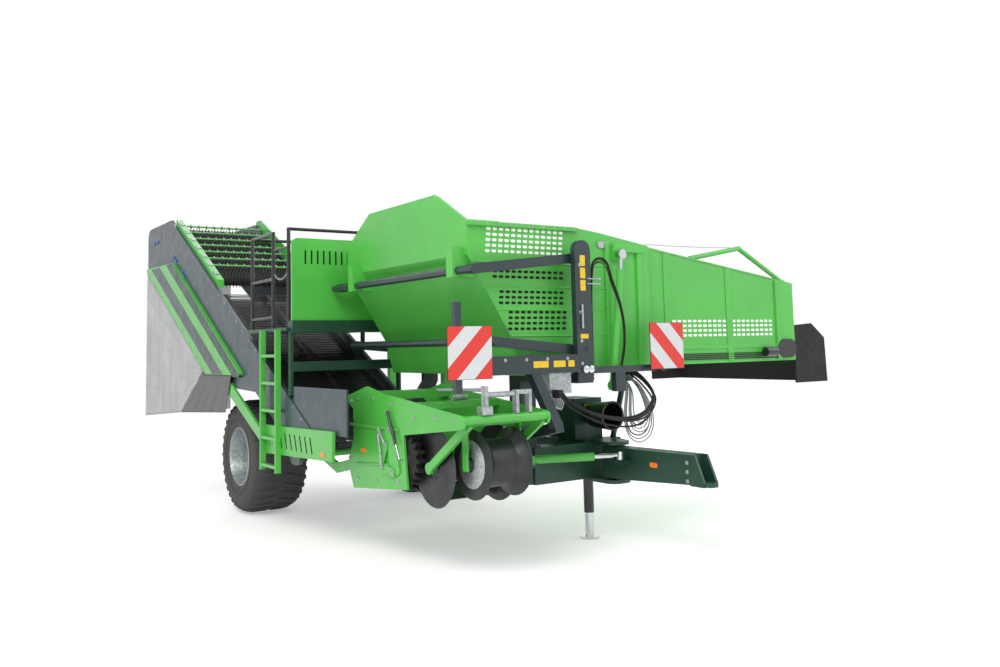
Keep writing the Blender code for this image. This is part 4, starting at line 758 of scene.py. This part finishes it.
def build_curtain(sizes):
    """A light grey curtain that hangs from the cover's sloping lower edge and round the back.

    Each cloth is a grid of t, from the upper edge to the lower one, on a place along the edge.
    Its ripple is a sum of two sines of that place, and grows with t.
    """
    x = -2.712
    rows = np.linspace(0, 1, 30)
    y = np.linspace(1.56, 4.495, 120)[:, None]
    upper = top_at(y)
    rising = 1.10 + (2.58 - y) * (top_at(1.56) - 1.10) / (2.58 - 1.56)
    lower = np.where(y < 2.58, rising, 1.10 - (y - 2.58) * 0.14 / 1.92)
    ripple = sizes.ripple * rows * (np.sin(y * 21 + 1.3 * np.sin(y * 5)) + 0.4 * np.sin(y * 57))
    points = np.stack(np.broadcast_arrays(x + ripple, y, upper + (lower - upper) * rows), axis=-1)
    side = put("curtain_side", grid(points), CANVAS, "chassis", ("curtain",), smooth=70)
    thicken(side, 0.003)
    welds = [pipe(points[:, row] - (0.003, 0, 0), 0.0022, 6, smooth=False) for row in (5, 11, 17, 23)]
    welds += [pipe(points[column, :] - (0.003, 0, 0), 0.0022, 6, smooth=False) for column in (62, 90)]
    seams = put("curtain_seams", joined(welds), CANVAS, "chassis")
    across = np.linspace(-2.708, -1.375, 60)[:, None]
    ripple = 0.85 * sizes.ripple * rows * np.sin(across * 24)
    upper = np.where(across < -2.66, 3.18, 3.23)
    back = np.stack(np.broadcast_arrays(across, 4.495 + ripple, upper + (0.99 - upper) * rows), axis=-1)
    rear = put("curtain_rear", grid(back), CANVAS, "chassis", smooth=70)
    thicken(rear, 0.003)
    hem = [(x - 0.006, y, top_at(y) - 0.011) for y in np.linspace(1.60, 4.48, 8)]
    put("curtain_batten", pipe(hem, 0.008, 8), ZINC, "chassis")


def build_flap(sizes):
    """The flap below the cover: a grid from its straight upper edge to its longer lower one."""
    rows = np.linspace(0, 1, 16)
    share = np.linspace(0, 1, 60)[:, None]
    upper_y, lower_y = 0.46 + 1.09 * share, 0.66 + 1.91 * share
    upper_z, lower_z = np.maximum(1.638, top_at(upper_y)), 1.19 - 0.09 * share
    y = upper_y + (lower_y - upper_y) * rows
    z = upper_z + (lower_z - upper_z) * rows
    x = -2.712 + 0.5 * sizes.ripple * rows * np.sin(share * 31)
    points = np.stack(np.broadcast_arrays(x, y, z), axis=-1)
    # Its darker grey is painted shade on the curtain's canvas.
    flap = put("flap_cloth", grid(points), SHADED_CANVAS, "chassis", ("mud_flap",), smooth=70)
    thicken(flap, 0.003)


def top_at(y):
    """Height of the curtain's sloping upper edge."""
    return 1.64 + (y - 1.45) * 0.5079 - 0.004


def thicken(obj, thickness):
    modifier = obj.modifiers.new("cloth_thickness", "SOLIDIFY")
    modifier.thickness = thickness
    modifier.offset = 0


# ---------------------------------------------------------------- bunker
def build_bunker(sizes):
    front = -3.8503
    ribs, heads = [], []
    open_slots, dark_slots = [], []
    for z0, count, x0, x1 in ((2.735, 5, -1.92, -1.07), (2.515, 2, -1.85, -1.07),
                              (2.290, 3, -1.79, -1.09), (2.065, 4, -1.70, -1.07)):
        holes = open_slots if z0 > 2.7 else dark_slots
        for row in range(count):
            for x in np.arange(x0 + 0.004 * row, x1, sizes.slot_pitch):
                holes.append(plate((x, front, z0 + row * 0.048), (0, -1, 0), (1, 0, 0), (0.046, 0.024), 0.0012, 0.45))
    put("hopper_open_slots", joined(open_slots), LIGHT, "bunker")
    put("hopper_dark_slots", joined(dark_slots), DARK, "bunker")
    for z, x in ((2.64, -2.07), (2.43, -1.96), (2.23, -1.84), (2.00, -1.69)):
        ribs.append(pipe(((x, front + 0.004, z), (-0.60, front + 0.004, z)), 0.010, 12, smooth=False))
    ribs.append(box((-2.13, -0.94), (front - 0.03, front + 0.002), (2.945, 2.985)))
    ribs.append(box((-0.50, -0.12), (front - 0.035, front + 0.002), (2.78, 2.86)))
    for x, width in ((-0.60, 0.05), (-0.20, 0.06)):
        ribs.append(box((x, x + width), (front - 0.022, front + 0.002), (1.70, 2.86)))
    put("hopper_ribs", joined(ribs), GREEN, "bunker", bevel=0.004)
    for x in np.arange(-2.05, -0.95, 0.12):
        heads.append(bolt((x, front - 0.03, 2.965), (0, -1, 0), 0.008))
    put("hopper_bolts", joined(heads), ZINC, "bunker")
    latch = plate((-0.62, front - 0.002, 2.84), (0, -1, 0), (1, 0, 0), (0.13, 0.06), 0.012, 0.49)
    put("oval_latch", latch, ZINC, "bunker")
    build_outer_section(sizes)
    slats = [box((x, x + 0.02), (-3.76, -1.63), (1.7202, 1.732)) for x in np.arange(-1.50, -0.16, 0.12)]
    put("bunker_floor_slats", joined(slats), STEEL, "bunker")


def build_outer_section(sizes):
    """Trim of the folding section, which is thin where the wall folds into the hopper."""
    wall = -3.8083
    proud = 0.009
    ribs, holes = [], []
    for x, width, depth in ((0.20, 0.10, proud), (1.09, 0.09, proud), (1.87, 0.06, 0.020)):
        top = 2.855 - x * 0.1396 - 0.03
        ribs.append(box((x, x + width), (wall - depth, wall + 0.002), (1.72, top)))
    top_rail = [(x, wall + 0.001, 2.840 - x * 0.1396) for x in (0.06, 1.86)]
    ribs.append(pipe(top_rail, 0.010, 12, smooth=False))
    ribs.append(box((0.06, 2.17), (wall - proud + 0.002, wall + 0.002), (1.845, 1.885)))
    put("outer_ribs", joined(ribs), GREEN, "bunker_outer", bevel=0.004)
    for z in (1.985, 2.033, 2.081, 2.128):
        for x in np.arange(0.33, 1.85, 1.1 * sizes.slot_pitch):
            if abs(x - 1.135) > 0.06:
                holes.append(plate((x, wall - 0.0003, z), (0, -1, 0), (1, 0, 0), (0.050, 0.024), 0.0012, 0.45))
    put("outer_perforation", joined(holes), LIGHT, "bunker_outer")
    cover = plate((2.02, wall - 0.0003, 1.83), (0, -1, 0), (1, 0, 0), (0.30, 0.20), 0.022, 0.45)
    put("chain_cover", cover, BLACK, "bunker_outer")
    pipes = [pipe([(0.10, wall - 0.0052, z), (1.30, wall - 0.0052, z - 0.006), (1.95, wall - 0.0052, z - 0.01)],
                  0.005, 12) for z in (1.800, 1.782, 1.764, 1.746)]
    put("outer_pipes", joined(pipes), RUBBER, "bunker_outer")
    motor = turned([(-0.10, 0.001), (-0.10, 0.045), (-0.04, 0.05), (0.06, 0.05), (0.08, 0.035), (0.08, 0.001)],
                   (1.72, wall - 0.052, 1.80), 32, closed=False)
    put("belt_motor", motor, BLACK, "bunker_outer")
    slats = [box((x, x + 0.02), (-3.74, -1.65), (1.7752, 1.787)) for x in np.arange(0.12, 2.16, 0.12)]
    put("outer_floor_slats", joined(slats), STEEL, "bunker_outer")
    wire = [(-0.005, wall + 0.03, 2.88), (0.70, wall + 0.03, 2.885), (1.37, wall + 0.03, 2.905)]
    put("top_wire", pipe(wire, 0.004, 8), ZINC, "bunker_outer")


# ---------------------------------------------------------------- front: hoses, boards, drawbar, stickers
HOSES = {
    "hose_bundle": (0.028, [
        (-1.36, -4.085, 1.50), (-1.28, -4.13, 1.42), (-1.00, -4.16, 1.30), (-0.60, -4.10, 1.24),
        (-0.25, -3.98, 1.28), (0.00, -3.82, 1.42), (0.06, -3.62, 1.56), (0.07, -3.45, 1.6354),
        (0.06, -3.34, 1.6274)]),
    "mast_hoses": (0.016, [
        (-0.9336, -4.03, 1.705), (-0.9316, -4.03, 2.00), (-0.9316, -4.03, 2.24), (-0.928, -4.032, 2.44),
        (-0.915, -4.036, 2.594), (-0.892, -4.036, 2.649), (-0.841, -4.036, 2.682),
        (-0.781, -4.036, 2.679), (-0.733, -4.036, 2.642), (-0.715, -4.036, 2.594), (-0.69, -4.06, 2.46),
        (-0.645, -4.085, 2.30), (-0.615, -4.10, 2.10), (-0.60, -4.08, 1.90), (-0.60, -4.03, 1.705)]),
}


CABLE_LOOP = [
    (0.12, -3.3715, 1.56), (0.122, -3.42, 1.557), (0.14, -3.48, 1.525), (0.175, -3.53, 1.44),
    (0.215, -3.58, 1.29), (0.225, -3.60, 1.14), (0.17, -3.60, 1.01), (0.05, -3.59, 0.955),
    (-0.06, -3.57, 1.00), (-0.11, -3.555, 1.12), (-0.10, -3.54, 1.27), (-0.065, -3.525, 1.40),
    (-0.02, -3.49, 1.50), (0.01, -3.43, 1.551), (0.02, -3.3715, 1.56)]


def flexible(name, route, radius, material, stands_for=()):
    """A hose or cable: a round tube on a smooth path."""
    tube = put(name, pipe(route, radius, 12), material, "chassis", stands_for)


def build_hoses():
    """Each route is a bundle: one hose on the route itself and slimmer ones that wind and sag by it."""
    for name, (radius, route) in HOSES.items():
        flexible(name + "_main", route, radius * 0.52, RUBBER, (name,))
        share = np.linspace(0, 1, len(route))
        for number, turn in enumerate(np.linspace(0, TAU, 3, endpoint=False)):
            angle = turn + 0.25 * np.arange(len(route))
            beside = np.array(route)
            beside[:, 1] += 0.85 * radius * np.cos(angle)
            beside[:, 2] += 0.85 * radius * np.sin(angle) - 0.8 * radius * number * np.sin(math.pi * share)
            flexible(f"{name}_{number}", beside, radius * 0.30, RUBBER)
    clamps = [box((-1.395, -1.345), (-4.112, -4.018), (1.466, 1.534)),
              box((0.022, 0.102), (-3.374, -3.310), (1.598, 1.668))]
    soften(put("hose_clamps", joined(clamps), RUBBER, "chassis"), 0.004)
    build_cable_loops()


def build_cable_loops():
    """Signal cables that hang in loops from the hose post, each loop a little smaller than the last."""
    route = np.array(CABLE_LOOP)
    middle = np.array((0.05, -3.53, 1.24))
    inside = np.sin(math.pi * np.linspace(0, 1, len(route)))[:, None]
    for number in range(7):
        loop = route + (middle - route) * inside * 0.11 * number
        loop[:, 0] += 0.008 * (number - 3)
        loop[:, 1] += 0.012 * (number % 3) * inside[:, 0]
        material = RUBBER if number % 3 == 2 else GREY_PLASTIC
        flexible(f"signal_cable_{number}", loop, 0.0065, material)


def build_front():
    heads, stickers = [], []
    drawbar_heads = [bolt((-0.17 + sign * 0.09, -4.46, z), (sign, 0, 0), 0.014)
                     for z in (0.70, 0.78, 0.86) for sign in (-1, 1)]
    put("drawbar_bolts", joined(drawbar_heads), ZINC, "drawbar")
    for x in np.arange(-2.15, -1.2, 0.22):
        heads.append(bolt((x, -4.09, 1.80), (0, -1, 0), 0.011))
    for z in (1.75, 1.95, 2.20, 2.62):
        heads.append(bolt((-1.08, -4.06, z), (0, -1, 0), 0.012))
    put("front_bolts", joined(heads), ZINC, "chassis")
    stickers += [plate((x, -4.0903, 1.757), (0, -1, 0), (1, 0, 0), (size, 0.055), 0.0012, 0.12)
                 for x, size in ((-1.56, 0.16), (-1.36, 0.13), (-1.23, 0.07))]
    for z in (2.66, 2.55, 2.44):
        stickers.append(plate((-1.045, -4.0603, z), (0, -1, 0), (0, 0, 1), (0.095, 0.06), 0.0012, 0.12))
    stickers.append(plate((-1.045, -4.0603, 1.99), (0, -1, 0), (0, 0, 1), (0.04, 0.09), 0.0012, 0.12))
    stickers.append(plate((-0.17, -2.6297 - 0.4206, 1.27), (0, -1, 0), (1, 0, 0), (0.10, 0.08), 0.0012, 0.12))
    put("blank_stickers", joined(stickers), YELLOW, "chassis")
    put("drawbar_reflector", plate((-0.2603, -4.05, 0.80), (-1, 0, 0), (0, 1, 0), (0.10, 0.045), 0.005, 0.49),
        ORANGE, "drawbar")
    gauges = [turned([(0, 0.001), (0, 0.032), (0.03, 0.032), (0.034, 0.026), (0.034, 0.001)], (0, 0, 0), 32, False)
              for _ in range(2)]
    for mesh, x in zip(gauges, (-1.06, -1.0)):
        mesh.transform(Matrix.Translation((x, -4.0603, 1.70)) @ Matrix.Rotation(-math.pi / 2, 4, "Z"))
    put("pressure_gauges", joined(gauges), CHROME, "chassis")
    lines = []
    for k in range(4):
        x, y = -1.40 + 0.04 * k, -3.99 + 0.02 * k
        lines.append(pipe([(x, y, 1.505), (x, y, 1.44), (x + 0.045, y, 1.385 - 0.01 * k), (x + 0.09, y, 1.44),
                           (x + 0.09, y, 1.505)], 0.008, 10))
    put("valve_pipes", joined(lines), ZINC, "chassis")
    fittings = [rod_x(-4.0665, z, (-1.00, -0.845), 0.0062, 12) for z in (2.50, 2.455)]
    fittings.append(pipe(((-1.07, -4.072, 2.27), (-1.07, -4.072, 2.06)), 0.010, 12, smooth=False))
    put("mast_bracket", joined(fittings), ZINC, "chassis")
    boards = []
    for x, z in ((-2.50, 1.66), (-0.30, 1.68)):
        rim = 0.423
        for a, b in (((x, z), (x + rim, z)), ((x, z + rim), (x + rim, z + rim)),
                     ((x, z), (x, z + rim)), ((x + rim, z), (x + rim, z + rim))):
            boards.append(pipe(((a[0], -4.107, a[1]), (b[0], -4.107, b[1])), 0.004, 8, smooth=False))
    put("board_rims", joined(boards), BLACK, "chassis")


def build_platform_trim():
    """Checker ribs on the floor, the chain between two posts, and the ribbed picking belt."""
    ribs = [box((-2.64, -1.40), (y, y + 0.008), (2.1602, 2.1652)) for y in np.arange(-1.18, -0.06, 0.05)]
    put("floor_grip", joined(ribs), DEEP_GREEN, "chassis")
    links = []
    for k in range(16):
        t = (k + 0.5) / 16
        y = -0.74 - 0.40 * t
        z = 2.76 - 0.30 * t * (1 - t)
        angle = TAU * np.arange(13) / 12
        long, short = 0.016 * np.cos(angle), 0.009 * np.sin(angle)
        flat, upright = (short, 0 * short) if k % 2 else (0 * short, short)
        ring = np.column_stack([-2.635 + flat, y + long, z + upright])
        links.append(pipe(ring, 0.003, 8, smooth=False))
    put("platform_chain", joined(links), ZINC, "chassis")
    ribs = []
    stations = racetrack((-1.16, 2.78), (2.10, 2.78), 0.0405, 0.09)
    for y, z, oy, oz in stations:
        ribs.append(pipe(((-0.84, y, z), (-0.36, y, z)), 0.004, 8, smooth=False))
    belt = solid_belt((-1.16, 2.78), (2.10, 2.78), 0.039, 0.03, (-0.85, -0.35))
    put("picking_belt_surface", joined([belt, *ribs]), RUBBER, "chassis", ("picking_belt",))


# ---------------------------------------------------------------- stage, camera and light
CAMERA = {"at": (-6.27, -10.2, 1.922), "yaw": 33.45, "pitch": 5.2516, "roll": -1.2229,
          "lens": 32.55, "shift": (0.0275, -0.0703)}


def build_stage(scene):
    yaw, pitch, roll = (math.radians(CAMERA[key]) for key in ("yaw", "pitch", "roll"))
    ahead = Vector((math.sin(yaw), math.cos(yaw), 0))
    right = Vector((math.cos(yaw), -math.sin(yaw), 0))
    up = Vector((0, 0, 1))
    look = ahead * math.cos(pitch) + up * math.sin(pitch)
    over = up * math.cos(pitch) - ahead * math.sin(pitch)
    side = right * math.cos(roll) + over * math.sin(roll)
    top = over * math.cos(roll) - right * math.sin(roll)
    data = bpy.data.cameras.new("camera")
    data.sensor_width = 36
    data.lens = CAMERA["lens"]
    data.shift_x, data.shift_y = CAMERA["shift"]
    camera = bpy.data.objects.new("camera", data)
    camera.matrix_world = (Matrix((side, top, -look)).transposed().to_4x4())
    camera.location = CAMERA["at"]
    scene.collection.objects.link(camera)
    scene.camera = camera
    scene.view_settings.view_transform = "Standard"
    floor = bpy.data.objects.new("floor", box((-40, 40), (-40, 40), (-0.05, -0.001)))
    floor.data.materials.append(pale_floor("pale_floor"))
    scene.collection.objects.link(floor)
    for name, at, energy, size, colour in (
            ("key", (-9, -9, 11), 900, 6, "#FFFDF8"), ("fill", (10, -8, 8), 420, 9, "#F4F8FF"),
            ("back", (2, 12, 9), 450, 8, "#FFFFFF")):
        data = bpy.data.lights.new(name, "AREA")
        data.energy, data.size, data.color = energy, size, linear(colour)[:3]
        lamp = bpy.data.objects.new(name, data)
        lamp.location = at
        lamp.rotation_euler = (Vector((0, 0, 1.2)) - Vector(at)).to_track_quat("-Z", "Y").to_euler()
        scene.collection.objects.link(lamp)
    scene.world = white_world("studio")


def pale_floor(name):
    """A matte white studio floor that glows a little where it is seen, so that shadows stay."""
    g = Graph(name)
    return g.finish(Base_Color=linear("#F4F4F3"), Roughness=0.9, Emission_Color=linear("#FFFFFF"),
                    Emission_Strength=g.between(g.seen(), 0.0, 0.34))


def white_world(name):
    """Soft light all round, which is white where it is seen."""
    world = bpy.data.worlds.new(name)
    g = Graph(name, world)
    shader = g.add("ShaderNodeBackground", {"Color": linear("#FFFFFF"),
                                            "Strength": g.between(g.seen(), 0.70, 1.0)})
    g.add("ShaderNodeOutputWorld", {"Surface": shader.outputs[0]}).is_active_output = True
    return world


# ---------------------------------------------------------------- add-on
def colour_setting(name, description, hex_colour):
    return bpy.props.FloatVectorProperty(name=name, description=description, subtype="COLOR",
                                         min=0.0, max=1.0, default=linear(hex_colour)[:3])


def length_setting(name, description, metres):
    return bpy.props.FloatProperty(name=name, description=description, unit="LENGTH", min=0.0,
                                   precision=4, default=metres)


class HarvesterColours(bpy.types.PropertyGroup):
    """Colours of the paint, the fabric and the film."""

    green: colour_setting("Green paint", "Enamel of the sheet metal", "#55BF4C")
    dark_green: colour_setting("Dark green paint", "Enamel of the chassis", "#1D4636")
    slate: colour_setting("Slate paint", "Enamel of the elevator's side plates", "#37474F")
    anthracite: colour_setting("Anthracite paint", "Enamel of the masts, the arms and the beam", "#27353A")
    black: colour_setting("Black paint", "Enamel of the railing and the guards", "#1C1D1F")
    canvas: colour_setting("Curtain", "Coated fabric of the curtain", "#C3C6C6")
    # This darker grey is painted shade: the flap is the same canvas as the curtain.
    flap: colour_setting("Flap", "Coated fabric of the flap below the cover", "#565554")
    stripe: colour_setting("Stripe", "Coloured bands of the reflective film", "#DF3A30")
    film: colour_setting("Film", "Pale bands of the reflective film", "#D9DBDE")


class HarvesterSizes(bpy.types.PropertyGroup):
    """Sizes of the fine surfaces."""

    edge: length_setting("Edge radius", "Rounding of the painted steel's edges", 0.004)
    tread: length_setting("Tread height", "Height of the tyre's bars above its carcass", 0.0155)
    tread_bars: bpy.props.IntProperty(name="Tread bars", description="Bars in each row round the tyre",
                                      min=8, default=34)
    rod_pitch: length_setting("Rod pitch", "Distance between two rods of a sieving web", 0.045)
    finger_pitch: length_setting("Finger pitch", "Distance between two rows of rubber fingers", 0.05)
    ripple: length_setting("Curtain ripple", "Depth of the waves at the curtain's lower edge", 0.007)
    slot_pitch: length_setting("Slot pitch", "Distance between two slots of the hopper wall", 0.066)


class HARVESTER_OT_materials(bpy.types.Operator):
    """Make every finish in the panel's colours"""

    bl_idname = "harvester.materials"
    bl_label = "Materials"

    def execute(self, context):
        make_materials(context.scene.harvester_colours)
        return {"FINISHED"}


class HARVESTER_OT_stage(bpy.types.Operator):
    """Add the floor, the lights, the world and the camera"""

    bl_idname = "harvester.stage"
    bl_label = "Stage"

    def execute(self, context):
        build_stage(context.scene)
        return {"FINISHED"}


class HARVESTER_OT_frame_finishes(bpy.types.Operator):
    """Paint the steel parts that stay as they are and round their edges"""

    bl_idname = "harvester.frame_finishes"
    bl_label = "Frame finishes"

    def execute(self, context):
        build_carried_over(context.scene.harvester_sizes)
        return {"FINISHED"}


class HARVESTER_OT_hoses(bpy.types.Operator):
    """Build the hose bundles of the drawbar and the mast"""

    bl_idname = "harvester.hoses"
    bl_label = "Hoses"

    def execute(self, context):
        build_hoses()
        return {"FINISHED"}


class HARVESTER_OT_wheels(bpy.types.Operator):
    """Build both tyres with their tread, rims and hub caps"""

    bl_idname = "harvester.wheels"
    bl_label = "Wheels"

    def execute(self, context):
        build_wheels(context.scene.harvester_sizes)
        return {"FINISHED"}


class HARVESTER_OT_digger(bpy.types.Operator):
    """Build the digger's discs, rollers, web and trim"""

    bl_idname = "harvester.digger"
    bl_label = "Digger"

    def execute(self, context):
        build_digger(context.scene.harvester_sizes)
        return {"FINISHED"}


class HARVESTER_OT_elevator(bpy.types.Operator):
    """Build the elevator's web, finger belt, bolts and lamps"""

    bl_idname = "harvester.elevator"
    bl_label = "Elevator"

    def execute(self, context):
        build_elevator(context.scene.harvester_sizes)
        return {"FINISHED"}


class HARVESTER_OT_curtain(bpy.types.Operator):
    """Build the curtain's two cloths, its batten and the flap"""

    bl_idname = "harvester.curtain"
    bl_label = "Curtain"

    def execute(self, context):
        build_curtain(context.scene.harvester_sizes)
        build_flap(context.scene.harvester_sizes)
        return {"FINISHED"}


class HARVESTER_OT_bunker(bpy.types.Operator):
    """Build the bunker's slots, ribs, bolts and floor slats"""

    bl_idname = "harvester.bunker"
    bl_label = "Bunker"

    def execute(self, context):
        build_bunker(context.scene.harvester_sizes)
        return {"FINISHED"}


class HARVESTER_OT_front(bpy.types.Operator):
    """Build the drawbar's, the masts' and the front beam's small parts"""

    bl_idname = "harvester.front"
    bl_label = "Front"

    def execute(self, context):
        build_front()
        return {"FINISHED"}


class HARVESTER_OT_platform(bpy.types.Operator):
    """Build the platform's floor ribs, its chain and the picking belt"""

    bl_idname = "harvester.platform"
    bl_label = "Platform"

    def execute(self, context):
        build_platform_trim()
        return {"FINISHED"}


OPERATORS = (HARVESTER_OT_materials, HARVESTER_OT_stage, HARVESTER_OT_frame_finishes, HARVESTER_OT_hoses,
             HARVESTER_OT_wheels, HARVESTER_OT_digger, HARVESTER_OT_elevator, HARVESTER_OT_curtain,
             HARVESTER_OT_bunker, HARVESTER_OT_front, HARVESTER_OT_platform)


class HARVESTER_PT_panel(bpy.types.Panel):
    """The harvester's settings and operators in the sidebar"""

    bl_label = "Harvester"
    bl_space_type = "VIEW_3D"
    bl_region_type = "UI"
    bl_category = "Harvester"

    def draw(self, context):
        for group in (context.scene.harvester_colours, context.scene.harvester_sizes):
            for key in group.__annotations__:
                self.layout.prop(group, key)
        for operator in OPERATORS:
            self.layout.operator(operator.bl_idname)


CLASSES = (HarvesterColours, HarvesterSizes, *OPERATORS, HARVESTER_PT_panel)


def register():
    for cls in CLASSES:
        bpy.utils.register_class(cls)
    bpy.types.Scene.harvester_colours = bpy.props.PointerProperty(type=HarvesterColours)
    bpy.types.Scene.harvester_sizes = bpy.props.PointerProperty(type=HarvesterSizes)


def unregister():
    del bpy.types.Scene.harvester_sizes
    del bpy.types.Scene.harvester_colours
    for cls in reversed(CLASSES):
        bpy.utils.unregister_class(cls)


def main():
    register()
    for operator in OPERATORS:
        group, name = operator.bl_idname.split(".")
        getattr(getattr(bpy.ops, group), name)()


if __name__ == "__main__":
    main()
